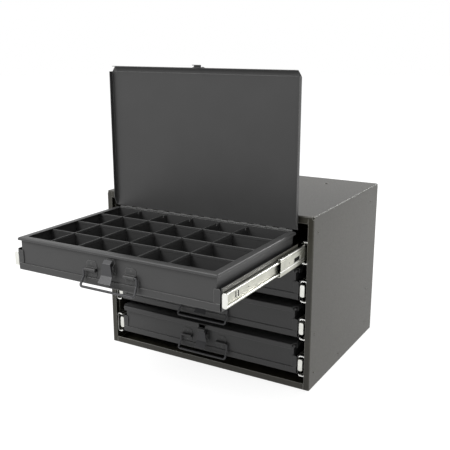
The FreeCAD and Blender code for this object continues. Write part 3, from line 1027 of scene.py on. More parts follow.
    def build(self, unit: Unit) -> None:
        """Make the box of one unit.

        Args:
            unit: Place of the box.
        """
        n = unit.number
        tub = joined([self.tub(), self.rim(), self.leaf()])
        unit.add("compartment_tub", tub, "drawer", Finish.BOX, "box")
        unit.add("divider_hems", self.hems(), "drawer", Finish.BOX)
        unit.bench.dress(Finish.BOX, f"long_dividers_{n}", f"cross_dividers_{n}")
        unit.bench.dress(Finish.STEEL, f"hinge_pin_{n}")


@dataclass
class SheetLid:
    """Flat lid with folded edges and cut corners, and its half of the hinge."""

    hinge: Hinge
    half: float = 230.8
    front: float = -204.0
    top: float = 70.0
    sheet: float = 1.0
    skirt: float = 11.0
    bend: float = 1.0
    corner_width: float = 8.0
    corner_length: float = 12.0
    rear_cut: float = 18.0
    # Height left of the side edges at the rear, below their bend.
    rear_edge: float = 0.1

    def panel(self) -> Shell:
        """Fold the top and the side edges as one section; the edges rise to nothing at the rear.

        Returns:
            The panel behind the front strip.
        """
        low = self.top - self.skirt
        rear = self.hinge.y - self.hinge.barrel_radius - self.hinge.gap
        stops = np.array([self.front + self.corner_length, rear - self.rear_cut, rear])
        path = [(self.half, low), (self.half, self.top), (-self.half, self.top), (-self.half, low)]
        grids = [carried(face, stops, Axis.Y) for face in bent(path, self.sheet, self.bend)]
        for grid in grids:
            grid[[0, -1], -1, 2] = self.top - self.bend - self.sheet - self.rear_edge
        return slab(*grids)

    def front_edge(self) -> Shell:
        """Fold the front strip and its edge, between the cut corners.

        Returns:
            The strip.
        """
        half = self.half - self.corner_width
        start = self.front + self.corner_length
        path = [(start, self.top), (self.front, self.top), (self.front, self.top - self.skirt)]
        return folded(path, self.sheet, self.bend, Axis.X, (-half, half))

    def corner(self) -> Shell:
        """Make the flat triangle beside the front strip on the right.

        Returns:
            The triangle.
        """
        inner = self.half - self.corner_width
        start = self.front + self.corner_length
        outline = [(inner, start), (inner, self.front + self.bend), (self.half - self.bend, start)]
        return prism(outline, Axis.Z, self.top - self.sheet, self.top)

    def build(self, unit: Unit) -> None:
        """Make the lid of one unit.

        Args:
            unit: Place of the box.
        """
        hinge = self.hinge
        rear = hinge.y - hinge.barrel_radius - hinge.gap
        leaf = joined(hinge.leaf(1, (rear, hinge.y, self.top - self.sheet, self.top)))
        shell = joined([self.panel(), self.front_edge(), both_sides(self.corner()), leaf])
        unit.add("folded_lid", unit.lid_turned(shell, hinge), "lid_leaf", Finish.BOX, "lid")


@dataclass
class LidStrike:
    """Strike riveted to the lid's front edge: a plate and a tongue whose lip the catch holds."""

    hinge: Hinge
    face: float = -204.0
    top: float = 68.0
    bottom: float = 59.0
    sheet: float = 1.2
    plate_width: float = 26.0
    plate_corner: float = 2.0
    tongue_width: float = 17.0
    tongue_bends: Pair = (0.8, 0.5)
    lip_front: float = -210.2
    lip_drop: float = 7.0
    rivet_radius: float = 1.7
    rivet_height: float = 0.9
    rivet_place: float = 10.8

    def build(self, unit: Unit) -> None:
        """Make the strike of one unit.

        Args:
            unit: Place of the box.
        """
        outer = self.face - self.sheet
        shelf = self.bottom + self.sheet
        lip = (self.lip_front, self.bottom - self.lip_drop)
        path = [(outer, self.top), (outer, shelf), (self.lip_front, shelf), lip]
        half = self.tongue_width / 2
        tongue = folded(path, self.sheet, self.tongue_bends, Axis.X, (-half, half))
        corners = rectangle(-self.plate_width / 2, self.plate_width / 2, self.bottom, self.top)
        plate = prism(rounded_outline(corners, self.plate_corner), Axis.Y, outer, self.face)
        dome = [(0, -1.0), (0.5, -0.95), (0.85, -0.6), (1.0, 0.0), (1.0, 0.4)]
        profile = [(self.rivet_radius * r, self.rivet_height * h) for r, h in dome]
        rivet = turned(profile, (0, 0, 0), Axis.Y, SMALL_SIDES)
        height = (self.top + self.bottom) / 2
        places = np.array([[x, outer, height] for x in (-self.rivet_place, self.rivet_place)])
        shell = joined([tongue, plate, repeated(rivet, places)])
        unit.add("lid_strike", unit.lid_turned(shell, self.hinge), "lid_leaf", Finish.BOX, "lid_catch")


@dataclass
class BailHandle:
    """Wire bail that hangs in two pressed brackets."""

    box_front: float = -194.2
    wire_radius: float = 2.4
    top_half: float = 61.0
    foot_half: float = 62.7
    pivot_reach: float = 5.0
    pivot_height: float = 31.0
    straight: float = 12.0
    bar_reach: float = 15.8
    bar_height: float = -0.5
    end_inset: float = 28.0
    # Bends of the wire at the pivot, at the knee and at the bar.
    bends: Triple = (3.2, 9.0, 4.6)
    # Square to the slanting part of the bail, so that no run of the wire is parallel to it.
    reference: Triple = (0.0, 0.872, -0.484)
    bracket_inset: float = 4.0
    bracket_width: float = 24.0
    bracket_above: float = 16.5
    bracket_below: float = 15.5
    bracket_sheet: float = 0.8
    bracket_corner: float = 4.0
    bracket_bend: float = 0.6
    clearance: float = 0.2
    # How much less than the bore the rounding of the press is.
    press_flat: float = 0.05
    weld_heights: Pair = (41.7, 21.5)
    weld_aside: float = 0.9
    weld_radius: float = 2.0
    weld_ring: float = 0.35

    def bail(self) -> Shell:
        """Sweep the round wire along its bent path, from one end to the other.

        Returns:
            The bail.
        """
        y = self.box_front - self.pivot_reach
        knee = self.pivot_height - self.straight
        half = [
            (self.top_half - self.end_inset, y, self.pivot_height),
            (self.top_half, y, self.pivot_height),
            (self.top_half, y, knee),
            (self.foot_half, self.box_front - self.bar_reach, self.bar_height),
        ]
        corners = half + [(-x, y, z) for x, y, z in reversed(half)]
        path = rounded_path(corners, self.bends + self.bends[::-1], FINE_BEND_STEPS)
        return wire(path, self.wire_radius, ROUND_SIDES, self.reference)

    def bracket(self) -> Shell:
        """Fold the right-hand bracket: plate, half-round press over the wire, plate, with cut corners.

        Returns:
            The bracket.
        """
        bore = self.wire_radius + self.clearance
        flat = self.box_front - self.bracket_sheet
        nose = self.box_front - self.pivot_reach - bore - self.bracket_sheet
        high = self.pivot_height + self.bracket_above
        low = self.pivot_height - self.bracket_below
        reach = bore + self.bracket_sheet
        cut = self.bracket_corner
        path = [
            (flat, high),
            (flat, high - cut),
            (flat, self.pivot_height + reach),
            (nose, self.pivot_height + reach),
            (nose, self.pivot_height - reach),
            (flat, self.pivot_height - reach),
            (flat, low + cut),
            (flat, low),
        ]
        bends = [0.0, self.bracket_bend, bore - self.press_flat]
        faces = bent(path, self.bracket_sheet, bends + bends[::-1], BEND_STEPS + 1)
        heights = faces[0][:, 1]
        inner = self.top_half - self.bracket_inset - self.bracket_width
        outer = self.top_half - self.bracket_inset
        pull = np.clip(cut - np.minimum(high - heights, heights - low), 0, cut)
        stops = np.stack([inner + pull, np.full_like(pull, (inner + outer) / 2), outer - pull], -1)
        return drawn_out(faces, stops, Axis.X)

    def welds(self) -> Shell:
        """Mark two spot welds on the right-hand bracket.

        Returns:
            The marks.
        """
        face = self.box_front - self.bracket_sheet
        x = self.top_half - self.bracket_inset - self.bracket_width / 2 + self.weld_aside
        places = [(x, face, z) for z in self.weld_heights]
        return joined([dimple(place, Axis.Y, -1.0, self.weld_radius, self.weld_ring) for place in places])

    def build(self, unit: Unit) -> None:
        """Make the bail and its brackets for one unit.

        Args:
            unit: Place of the box.
        """
        unit.add("wire_bail", self.bail(), "handle", Finish.HARDWARE, "bail")
        brackets = both_sides(joined([self.bracket(), self.welds()]))
        unit.add("pressed_brackets", brackets, "drawer", Finish.BOX, "bail_brackets")


@dataclass
class CentreCatch:
    """Sprung lever in a base with two ears, in the middle of the box's front."""

    box_front: float = -194.2
    pivot_y: float = -200.7
    pivot_z: float = 42.0
    sheet: float = 1.2
    ear_inner: float = 10.0
    ear_wall: float = 1.2
    ear_half: float = 10.0
    ear_round: float = 2.4
    least_round: float = 0.3
    base_taper: float = 2.5
    base_corner: float = 1.5
    above: float = 15.5
    below: float = 16.0
    pin_radius: float = 1.5
    pin_over: float = 0.8
    head_radius: float = 2.025
    head_round: float = 0.4
    coil_radius: float = 2.35
    coil_wire: float = 0.5
    coil_gap: float = 0.8
    coil_turns: int = 9
    coil_steps: int = 14
    coil_sides: int = 6
    reach: float = 13.6
    knee_above: float = 8.6
    hook_above: float = 14.3
    hook_back: float = 6.5
    top_half: float = 9.0
    foot_half: float = 14.6
    lever_below: float = 13.5
    lever_bends: Pair = (1.2, 1.8)
    flare_height: float = 13.5
    flare_reach: float = 9.0
    cheek_half: float = 4.0

    def cheek(self, outline: Corners, radii: Sequence[float], inner: float, outer: float) -> Shell:
        """Return an upright plate and its twin, with rounded corners."""
        return both_sides(prism(rounded_outline(outline, radii), Axis.X, inner, outer))

    def pin(self) -> Shell:
        """Turn the pin, with a head outside each ear.

        Returns:
            The pin.
        """
        wall = self.ear_inner + self.ear_wall
        end = wall + self.pin_over
        r, head = self.pin_radius, self.head_radius
        rows = [(0, -end), (r, -end), (head, -end + self.head_round), (head, -wall), (r, -wall)]
        rows += [(a, -b) for a, b in reversed(rows)]
        return turned(rows, (0, self.pivot_y, self.pivot_z), Axis.X, ROUND_SIDES)

    def coil(self) -> Shell:
        """Wind the spring round the pin.

        x grows evenly, and (y, z) is the axis plus the radius times (cos, sin).

        Returns:
            The spring.
        """
        half = self.top_half - self.sheet - self.coil_gap
        t = np.linspace(0, 1, self.coil_turns * self.coil_steps + 1)
        a = 2 * math.pi * self.coil_turns * t
        y = self.pivot_y + self.coil_radius * np.cos(a)
        z = self.pivot_z + self.coil_radius * np.sin(a)
        helix = np.stack([-half + 2 * half * t, y, z], -1)
        return wire(helix, self.coil_wire, self.coil_sides, (1.0, 0.0, 0.0))

    def base(self) -> Shell:
        """Make the base plate with rounded corners, its two ears, the pin and the spring.

        Returns:
            The base.
        """
        z = self.pivot_z
        wall = self.ear_inner + self.ear_wall
        foot = self.box_front - self.sheet
        narrow = wall - self.base_taper
        low, high = z - self.ear_half, z + self.ear_half
        right = [(narrow, z - self.below), (wall, low), (wall, high), (narrow, z + self.above)]
        outline = right + [(-x, h) for x, h in reversed(right)]
        plate = prism(rounded_outline(outline, self.base_corner), Axis.Y, foot, self.box_front)
        tip = self.pivot_y - 2 * self.pin_radius
        ear = [(foot, low), (foot, high), (tip, z + 2 * self.pin_radius), (tip, z - 2 * self.pin_radius)]
        radii = [self.least_round, self.least_round, self.ear_round, self.ear_round]
        return joined([plate, self.cheek(ear, radii, self.ear_inner, wall), self.pin(), self.coil()])

    def lever(self) -> Shell:
        """Fold the bowed strip with a hook above and a flared pull below, and add its two cheeks.

        Returns:
            The lever.
        """
        z = self.pivot_z
        face = self.box_front - self.reach
        back = face + self.sheet
        knee = z + self.knee_above
        flare = z - self.lever_below
        foot = flare - self.flare_height
        path = [
            (back - self.flare_reach, foot),
            (back, flare),
            (back, knee),
            (back + self.hook_back, z + self.hook_above),
        ]
        faces = bent(path, self.sheet, self.lever_bends, BEND_STEPS + 1)
        share = np.clip((knee - faces[0][:, 1]) / (knee - foot), 0, 1)
        width = self.top_half + (self.foot_half - self.top_half) * share
        strip = drawn_out(faces, np.stack([-width, np.zeros_like(width), width], -1), Axis.X)
        inner = face + self.sheet / 2
        rear = self.pivot_y + self.cheek_half
        half = self.cheek_half / 2
        top = z + self.knee_above - self.sheet
        cheek = [(inner, z - 2 * self.cheek_half), (rear, z - half), (rear, z + half), (inner, top)]
        radii = [self.least_round, self.ear_round, self.ear_round, self.least_round]
        return joined([strip, self.cheek(cheek, radii, self.top_half - self.sheet, self.top_half)])

    def build(self, unit: Unit) -> None:
        """Make the catch of one unit."""
        unit.add("catch_base", self.base(), "drawer", Finish.BOX, "latch_base")
        unit.add("catch_lever", self.lever(), "catch", Finish.HARDWARE, "latch_lever")


@dataclass
class SlideCarrier:
    """Folded tray under the box: its sides stand clear of the box, with a front lip and two ears."""

    sheet: float = 1.5
    inner: float = 226.0
    outer: float = 234.0
    # How far inside the rear flange's ends the flat pan meets the folded strip of each side.
    pan_inset: float = 4.0
    front: float = -196.0
    rear: float = 109.6
    ledge: float = 43.0
    lip: float = 14.5
    lip_inset: float = 3.0
    ear_inset: float = 2.2
    ear_width: float = 13.0
    ear_top: float = 41.4
    ear_gap: float = 1.2
    ear_corner: float = 3.6
    ear_foot_radii: Pair = (2.0, 1.2)
    root_inset: float = 1.0
    root_lap: float = 0.5
    bend: float = 1.0
    hem_sheet: float = 1.0
    hem_low: float = 36.0
    hem_start: float = 3.0
    hem_over: float = 0.2
    hem_radii: tuple[float, ...] = (0.2, 0.3, 0.6, 0.6)

    def ears(self) -> list[Shell]:
        """Make the right-hand ear and the root that ties it to the lip.

        Returns:
            Ear and root.
        """
        low = self.lip + self.ear_gap
        right = self.outer - self.ear_inset
        left = right - self.ear_width
        radii = [*self.ear_foot_radii, self.ear_corner, self.ear_corner]
        outline = rounded_outline(rectangle(left, right, low, self.ear_top), radii)
        across = (left + self.ear_corner, right - self.root_inset)
        root = (*across, self.lip - self.root_lap, low + self.root_lap)
        return [
            prism(outline, Axis.Y, self.front, self.front + self.sheet),
            prism(rectangle(*root), Axis.Y, self.front + self.sheet / 2, self.front + self.sheet),
        ]

    def tray(self) -> Shell:
        """Make the pan, the sides, the lip, the rear flange and the ears.

        Returns:
            The carrier.
        """
        bend = self.bend + self.sheet
        start = self.front + bend
        stop = self.rear - bend
        seam = self.inner - self.pan_inset
        side = [(seam, 0), (self.outer, 0), (self.outer, self.ledge)]
        lip_half = self.outer - self.lip_inset
        lip = [(self.front, self.lip), (self.front, 0), (start, 0)]
        back = [(stop, 0), (self.rear, 0), (self.rear, self.lip)]
        return joined(
            [
                prism(rectangle(start, stop, 0, self.sheet), Axis.X, -seam, seam),
                both_sides(folded(side, self.sheet, self.bend, Axis.Y, (start, stop))),
                folded(lip, self.sheet, self.bend, Axis.X, (-lip_half, lip_half)),
                folded(back, self.sheet, self.bend, Axis.X, (-self.inner, self.inner)),
                *(both_sides(part) for part in self.ears()),
            ]
        )

    def hem(self) -> Shell:
        """Fold the sheet double along the top of the right side: a rounded bar above the slide.

        Returns:
            The bar.
        """
        across = (self.outer - self.sheet / 2, self.outer + self.hem_sheet)
        corners = rectangle(*across, self.hem_low, self.ledge + self.hem_over)
        outline = rounded_outline(corners, self.hem_radii)
        return prism(outline, Axis.Y, self.front + self.hem_start, self.rear - self.bend)

    def build(self, unit: Unit) -> None:
        """Make the carrier of one unit."""
        unit.add("folded_carrier", self.tray(), "drawer", Finish.BOX, "carrier")
        # The hems wear a paler copy of the box's enamel: painted light on the band above the slide.
        unit.add("carrier_side_hems", both_sides(self.hem()), "drawer", Finish.EDGE)


@dataclass
class BallSlide:
    """Three-member slides beside one box: moving members, balls and retainers, and the fixed race ends."""

    centre: float = 21.0
    sheet: float = 1.2
    inner_back: float = 234.0
    inner_reach: float = 9.5
    inner_half: float = 13.3
    inner_lip: float = 3.0
    inner_press: float = 3.4
    press_half: float = 9.5
    inner_start: float = -194.0
    inner_length: float = 345.0
    # Bends from the tip of a member to the middle of its web.
    inner_bends: tuple[float, ...] = (0.3, 0.9, 0.4, 0.4)
    # Holes of a member: from its front end, and from its centre line.
    inner_holes: tuple[Hole, ...] = (
        (37.5, 42.0, -6.0, 6.0),
        (46.5, 51.0, -6.0, 6.0),
        (84.5, 88.5, -3.4, 0.6),
    )
    tab_reach: float = 10.2
    tab_corner: float = 3.6
    tab_sheet: float = 1.4
    middle_face: float = 246.2
    middle_reach: float = 7.5
    middle_half: float = 18.25
    middle_lip: float = 3.6
    middle_step: float = 1.2
    step_low: float = -5.2
    step_high: float = 12.8
    middle_start: float = -152.0
    middle_length: float = 301.0
    middle_bends: tuple[float, ...] = (0.6, 1.2, 0.4, 0.4)
    middle_holes: tuple[Hole, ...] = ((36.0, 38.4, 0.6, 3.0), (59.0, 86.0, -4.0, 4.6))
    rail_radius: float = 2.1
    rail_height: float = 4.2
    middle_rail_height: float = 3.0
    race_width: float = 5.4
    rail_over: float = 0.3
    # Half of the flat left between two roundings of a rail.
    rail_flat: float = 0.05
    outer_face: float = 250.5
    outer_reach: float = 14.0
    outer_half: float = 23.5
    outer_lip: float = 4.2
    outer_start: float = -196.0
    race_length: float = 8.0
    race_sheet: float = 1.9
    race_bend: float = 2.2
    outer_ball: float = 4.0
    inner_ball: float = 3.4
    ball_steps: int = 6
    ball_sides: int = 8
    ball_gap: float = 0.05
    pitch: float = 9.5
    # First ball from the end of its cage, in pitches.
    first_ball: float = 0.8
    # Rows of balls: how far inside the face of the middle member and the tip of the inner one they run.
    outer_row_inset: float = 2.2
    inner_row_inset: float = 3.4
    cage_sheet: float = 0.8
    cage_length: float = 110.0
    cage_inset: float = 8.0
    cage_lap: float = 0.4
    # How far the web of each cage stands outside that face and that tip.
    outer_cage_out: float = 1.6
    inner_cage_out: float = 0.9

    def member(
        self, section: Corners, bends: Sequence[float], start: float, ends: Pair, holes: Sequence[Hole]
    ) -> Shell:
        """Roll a member on the right from its section, and pierce its web.

        Args:
            section: Corners of its section, with heights from the centre line.
            bends: Inner radii of the first half; the second half has them in reverse.
            start: Its front end, from which the holes are measured.
            ends: Both ends of the rolled part along Y.
            holes: Its holes.

        Returns:
            The member.
        """
        c = self.centre
        raised = [(x, z + c) for x, z in section]
        places = [(start + y0, start + y1, c + z0, c + z1) for y0, y1, z0, z1 in holes]
        return pierced(raised, self.sheet, [*bends, *bends[::-1]], ends, places)

    @property
    def inner_ends(self) -> Pair:
        """Both ends of the inner member along Y, behind its end tab."""
        return (self.inner_start + self.tab_sheet, self.inner_start + self.inner_length)

    @property
    def middle_ends(self) -> Pair:
        """Both ends of the middle member along Y."""
        return (self.middle_start, self.middle_start + self.middle_length)

    def inner(self) -> Shell:
        """Roll the inner member: a C open outwards, its web pressed outwards between the two races.

        Returns:
            The right-hand member.
        """
        back = self.inner_back
        tip = back + self.inner_reach
        half = self.inner_half
        face = back + self.inner_press
        edge = self.press_half
        upper = [(tip, half - self.inner_lip), (tip, half), (back, half), (back, edge), (face, edge)]
        section = upper + [(x, -z) for x, z in reversed(upper)]
        return self.member(section, self.inner_bends, self.inner_start, self.inner_ends, self.inner_holes)

    def middle(self) -> Shell:
        """Roll the middle member: a C open inwards, the upper part of its web pressed outwards.

        Returns:
            The right-hand member.
        """
        face = self.middle_face
        low_face = face - self.middle_step
        tip = face - self.middle_reach
        half = self.middle_half
        section = [
            (tip, self.middle_lip - half),
            (tip, -half),
            (low_face, -half),
            (low_face, self.step_low - self.middle_step),
            (face, self.step_low),
            (face, self.step_high),
            (low_face, self.step_high + self.middle_step),
            (low_face, half),
            (tip, half),
            (tip, half - self.middle_lip),
        ]
        return self.member(section, self.middle_bends, self.middle_start, self.middle_ends, self.middle_holes)

    def rail(self, width: Pair, height: Pair, ends: Pair) -> Shell:
        """Make one rounded race edge along Y.

        Args:
            width: Its range of X.
            height: Its range of height from the centre line.
            ends: Both ends along Y.

        Returns:
            The edge.
        """
        low = self.centre + height[0]
        high = self.centre + height[1]
        thinnest = min(high - low, width[1] - width[0])
        radius = min(self.rail_radius, thinnest / 2 - self.rail_flat)
        return prism(rounded_outline(rectangle(*width, low, high), radius), Axis.Y, *ends)

    def inner_rails(self) -> Shell:
        """Make the race edges of the inner members, which thicken the ends of the C.

        Returns:
            The edges on both sides.
        """
        tip = self.inner_back + self.inner_reach
        high = self.inner_half + self.rail_over
        low = high - self.rail_height
        heights = ((low, high), (-high, -low))
        width = (tip - self.race_width, tip)
        return both_sides(joined([self.rail(width, h, self.inner_ends) for h in heights]))

    def middle_rails(self) -> Shell:
        """Make the race edges of the middle members: along the top corner, and under the step of the web.

        Returns:
            The edges on both sides.
        """
        face = self.middle_face - self.middle_step + self.rail_over
        width = (face - self.sheet - 2 * self.rail_over, face)
        tops = (self.middle_half + self.rail_over, self.step_low - self.middle_step - self.rail_over)
        heights = [(top - self.middle_rail_height, top) for top in tops]
        return both_sides(joined([self.rail(width, h, self.middle_ends) for h in heights]))

    def race_ends(self) -> Shell:
        """Fold the thickened race ends of the fixed members, which curl towards the box above and below.

        Returns:
            The ends on both sides.
        """
        tip = self.outer_face - self.outer_reach
        half = self.outer_half + self.rail_over
        turn = half - self.outer_lip
        path = [(tip, turn), (tip, half), (self.outer_face, half), (self.outer_face, turn)]
        ends = (self.outer_start - self.rail_over, self.outer_start + self.race_length)
        high = [(x, self.centre + z) for x, z in reversed(path)]
        low = [(x, self.centre - z) for x, z in path]
        shells = [folded(row, self.race_sheet, self.race_bend, Axis.Y, ends) for row in (high, low)]
        return both_sides(joined(shells))

    def tab(self) -> Shell:
        """Make the rounded tabs that close the front ends of the inner members.

        Returns:
            The tabs on both sides.
        """
        low = self.centre - self.inner_half
        high = self.centre + self.inner_half
        corners = rectangle(self.inner_back, self.inner_back + self.tab_reach, low, high)
        ends = (self.inner_start, self.inner_start + self.tab_sheet)
        return both_sides(prism(rounded_outline(corners, self.tab_corner), Axis.Y, *ends))

    def cage(self, tip: float, face: float, half: float, start: float) -> Shell:
        """Fold a ball cage on the right: a thin C open inwards.

        Args:
            tip: X of its open ends.
            face: X of its web.
            half: Half of its height.
            start: Its front end.

        Returns:
            The cage.
        """
        low = self.centre - half
        high = self.centre + half
        path = [(tip, low), (face, low), (face, high), (tip, high)]
        return folded(path, self.cage_sheet, self.cage_sheet, Axis.Y, (start, start + self.cage_length))

    def row(self, diameter: float, x: float, half: float, start: float) -> Shell:
        """Line up balls above and below, along one cage; a ball's rows are at equal steps of latitude.

        Args:
            diameter: Diameter of a ball.
            x: Middle of the rows.
            half: Their height from the centre line.
            start: Front end of the cage.

        Returns:
            The balls on the right.
        """
        a = np.linspace(-math.pi / 2, math.pi / 2, self.ball_steps)
        r = diameter / 2
        ball = turned(np.stack([r * np.cos(a), r * np.sin(a)], -1), (0, 0, 0), Axis.Z, self.ball_sides)
        count = int((self.cage_length - self.pitch) / self.pitch)
        y = start + self.pitch * (np.arange(count) + self.first_ball)
        places = np.array([[x, at, self.centre + s * half] for s in (-1, 1) for at in y])
        return repeated(ball, places)

    def build(self, unit: Unit, pair_shift: float) -> None:
        """Make the slides of one unit.

        Args:
            unit: Place of the box.
            pair_shift: How far out the middle members are.
        """
        n = unit.number
        fixed = Unit(unit.bench, n, 0.0, unit.base)
        pair = Unit(unit.bench, n, pair_shift, unit.base)
        inner_tip = self.inner_back + self.inner_reach
        outer_x = self.middle_face - self.outer_row_inset
        inner_x = inner_tip - self.inner_row_inset
        outer_row = self.middle_half + self.ball_gap + self.outer_ball / 2
        inner_row = self.inner_half + self.ball_gap + self.inner_ball / 2
        rear = self.middle_start + self.middle_length - self.cage_inset - self.cage_length
        front = self.middle_start + self.cage_inset
        wall = self.cage_sheet / 2
        outer_web = self.middle_face + self.outer_cage_out
        cages = [
            self.cage(outer_x - self.cage_lap, outer_web, outer_row + wall, rear),
            self.cage(inner_x - self.cage_lap, inner_tip + self.inner_cage_out, inner_row + wall, front),
        ]
        balls = [
            self.row(self.outer_ball, outer_x, outer_row, rear),
            self.row(self.inner_ball, inner_x, inner_row, front),
        ]
        unit.bench.piece(f"outer_race_ends_{n}", fixed.placed(self.race_ends()), "rack", Finish.RACE)
        pair.add("ball_retainers", both_sides(joined(cages)), "slide_pair", Finish.RETAINER)
        middle = both_sides(self.middle())
        pair.add("rolled_middle_members", middle, "slide_pair", Finish.ZINC, "slide_middle")
        pair.add("bearing_balls", both_sides(joined(balls)), "slide_pair", Finish.STEEL)
        unit.add("rolled_inner_members", both_sides(self.inner()), "drawer", Finish.ZINC, "slide_inner")
        unit.add("slide_end_tabs", self.tab(), "drawer", Finish.BRIGHT_ZINC)
        unit.add("inner_race_rails", self.inner_rails(), "drawer", Finish.RACE)
        pair.add("middle_race_rails", self.middle_rails(), "slide_pair", Finish.RACE)


@dataclass
class RackCase:
    """Case of the rack and its fixed slide members: CAD sheet with a finish, and weld marks on its sides."""

    half_width: float = 263.5
    weld_radius: float = 2.6
    weld_ring: float = 0.45
    # Marks on each side, as (y, z): in front where the photograph shows them, and their like at the rear.
    weld_places: tuple[Pair, ...] = (
        (-177.3, 346.0),
        (-177.9, 123.1),
        (-176.4, 33.5),
        (-30.9, 18.7),
        (150.0, 33.5),
        (150.0, 123.1),
        (150.0, 346.0),
    )

    def build(self, bench: Bench) -> None:
        """Dress the case and mark its welds.

        Args:
            bench: Maker of pieces.
        """
        bench.dress(Finish.RACK, "rack_shell", "rack_floor", "rack_back", "rack_uprights")
        bench.dress(Finish.BRIGHT_ZINC, "slide_outers_right", "slide_outers_left")
        places = [(self.half_width, y, z) for y, z in self.weld_places]
        marks = [dimple(place, Axis.X, 1.0, self.weld_radius, self.weld_ring) for place in places]
        bench.piece("side_weld_marks", both_sides(joined(marks)), "rack", Finish.RACK)


# Studio


@dataclass(frozen=True)
class Softbox:
    """Square soft lamp: its place, the point that it faces, its side in metres and its power in watts."""

    name: str
    place: Triple
    target: Triple
    size: float
    power: float

    def hang(self) -> None:
        """Make the lamp and turn it to its target."""
        data = bpy.data.lights.new(self.name, "AREA")
        data.size = self.size
        data.energy = self.power
        made = bpy.data.objects.new(self.name, data)
        made.location = self.place
        aim = np.array(self.target) - np.array(self.place)
        flat = math.hypot(aim[0], aim[1])
        made.rotation_euler = (math.atan2(flat, -aim[2]), 0.0, math.atan2(aim[1], aim[0]) - math.pi / 2)
        bpy.context.scene.collection.objects.link(made)


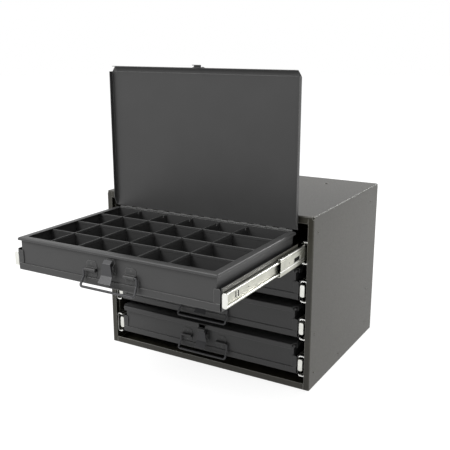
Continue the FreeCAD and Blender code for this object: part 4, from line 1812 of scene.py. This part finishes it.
@dataclass
class Studio:
    """Camera of the photograph, soft lamps, a pale floor and a white world."""

    camera_place: Triple = (0.7874, -1.4607, 0.7237)
    azimuth: float = 30.07
    elevation: float = 14.77
    lens: float = 55.99
    sensor: float = 36.0
    view_end: float = 50.0
    ambient: float = 0.56
    white: str = "#ffffff"
    floor_colour: str = "#9e9e9e"
    fibre_colour: str = "#a6a6a6"
    # Paper fibres are under 1 mm; the floor's clouds of them are drawn at 30 mm so that they show.
    fibre_mm: float = 30.0
    floor_glow: float = 0.83
    floor_rings: Triple = (2.0, 6.0, 14.0)
    floor_sides: int = 48
    floor_height: float = -0.0005
    # The first lights front and top, the second the right side, and the third the bends from behind.
    lamps: tuple[Softbox, ...] = (
        Softbox("front_left_softbox", (-1.0, -2.1, 2.3), (0.0, -0.2, 0.25), 1.4, 56.0),
        Softbox("right_softbox", (2.0, -0.1, 0.27), (0.0, 0.0, 0.2), 0.5, 10.2),
        Softbox("rear_rim_softbox", (0.75, 2.4, 1.65), (0.0, 0.0, 0.3), 0.5, 24.0),
    )

    def camera(self) -> None:
        """Place the camera: it looks along (-sin a cos e, cos a cos e, -sin e)."""
        data = bpy.data.cameras.new("photo_camera")
        data.sensor_fit = "HORIZONTAL"
        data.sensor_width = self.sensor
        data.lens = self.lens
        data.clip_end = self.view_end
        made = bpy.data.objects.new("photo_camera", data)
        made.location = self.camera_place
        made.rotation_euler = (math.radians(90 - self.elevation), 0.0, math.radians(self.azimuth))
        bpy.context.scene.collection.objects.link(made)
        bpy.context.scene.camera = made

    def seen(self, tree: bpy.types.NodeTree) -> bpy.types.NodeSocket:
        """Tell what the eye sees from what lights the object.

        Args:
            tree: Node tree that asks.

        Returns:
            1 for camera, glossy and transmission rays, and 0 for the others.
        """
        rays = add_node(tree, "ShaderNodeLightPath").outputs
        seen = rays["Is Camera Ray"]
        for ray in ("Is Glossy Ray", "Is Transmission Ray"):
            seen = add_node(tree, "ShaderNodeMath", {0: seen, 1: rays[ray]}, operation="MAXIMUM").outputs[0]
        return seen

    def world(self) -> None:
        """Make a world that is white to the eye and in gloss, and plain grey light elsewhere."""
        made = bpy.data.worlds.new("studio_world")
        made.use_nodes = True
        tree = made.node_tree
        tree.nodes.clear()
        colour = linear(self.white)
        light, shown = [
            add_node(tree, "ShaderNodeBackground", {"Color": colour, "Strength": strength}).outputs[0]
            for strength in (self.ambient, 1.0)
        ]
        mix = add_node(tree, "ShaderNodeMixShader", {0: self.seen(tree), 1: light, 2: shown})
        add_node(tree, "ShaderNodeOutputWorld", {"Surface": mix.outputs[0]})
        bpy.context.scene.world = made

    def paper(self) -> bpy.types.Material:
        """Make matt white paper, whose glow to the eye keeps it white outside the shadow.

        Returns:
            The finished material.
        """
        made = empty_material("pale_paper_sweep")
        tree = made.node_tree
        spot = add_node(tree, "ShaderNodeTexCoord").outputs["Object"]
        noise = {"Vector": spot, "Scale": per_metre(self.fibre_mm), "Detail": 3.0}
        fibre = add_node(tree, "ShaderNodeTexNoise", noise).outputs["Fac"]
        colours = {6: linear(self.floor_colour), 7: linear(self.fibre_colour)}
        tint = add_node(tree, "ShaderNodeMix", {0: fibre, **colours}, data_type="RGBA")
        matt = add_node(tree, "ShaderNodeBsdfDiffuse", {"Color": tint.outputs[2]})
        dark, glow = [
            add_node(tree, "ShaderNodeEmission", {"Color": linear(colour), "Strength": strength}).outputs[0]
            for colour, strength in (("#000000", 0.0), (self.white, self.floor_glow))
        ]
        seen = add_node(tree, "ShaderNodeMixShader", {0: self.seen(tree), 1: dark, 2: glow})
        both = add_node(tree, "ShaderNodeAddShader", {0: matt.outputs[0], 1: seen.outputs[0]})
        add_node(tree, "ShaderNodeOutputMaterial", {"Surface": both.outputs[0]})
        return made

    def floor(self) -> None:
        """Lay a flat disc: rings of points at (r cos a, r sin a), and a face over the innermost."""
        radius = np.array(self.floor_rings)[:, None]
        a = around(self.floor_sides)
        x = radius * np.cos(a)
        y = radius * np.sin(a)
        points = np.stack([x, y, np.full_like(x, self.floor_height)], -1).reshape(-1, 3)
        faces = grid_quads(len(radius), self.floor_sides, True).tolist() + [list(range(self.floor_sides))]
        mesh = bpy.data.meshes.new("paper_floor")
        mesh.from_pydata(points.tolist(), [], faces)
        mesh.materials.append(self.paper())
        floor = bpy.data.objects.new("paper_floor", mesh)
        bpy.context.scene.collection.objects.link(floor)

    def build(self) -> None:
        """Set up the studio."""
        self.camera()
        self.world()
        self.floor()
        for lamp in self.lamps:
            lamp.hang()
        bpy.context.scene.view_settings.view_transform = "Standard"


def corners(box: Sequence) -> list[list[float]]:
    """Return a box's two corners as plain lists."""
    return [[float(c) for c in corner] for corner in box]


def main() -> None:
    """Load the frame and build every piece."""
    logging.basicConfig(level=logging.INFO, format="%(name)s: %(message)s")
    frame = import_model()
    Studio().build()
    bench = Bench(frame["nodes"])
    RackCase().build(bench)
    hinge = Hinge()
    carrier = SlideCarrier()
    makers = [CompartmentBox(hinge), SheetLid(hinge), LidStrike(hinge), BailHandle(), CentreCatch(), carrier]
    slide = BallSlide()
    for number in (1, 2, 3, 4):
        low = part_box(f"carrier_{number}")[0] / MM
        lid_low, lid_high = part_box(f"lid_{number}")
        pair_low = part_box(f"slide_middle_{number}")[0] / MM
        lid_open = lid_high.z - lid_low.z > lid_high.y - lid_low.y
        unit = Unit(bench, number, low.y - carrier.front, low.z, lid_open)
        for maker in makers:
            maker.build(unit)
        slide.build(unit, pair_low.y - slide.middle_start)


if __name__ == "__main__":
    main()
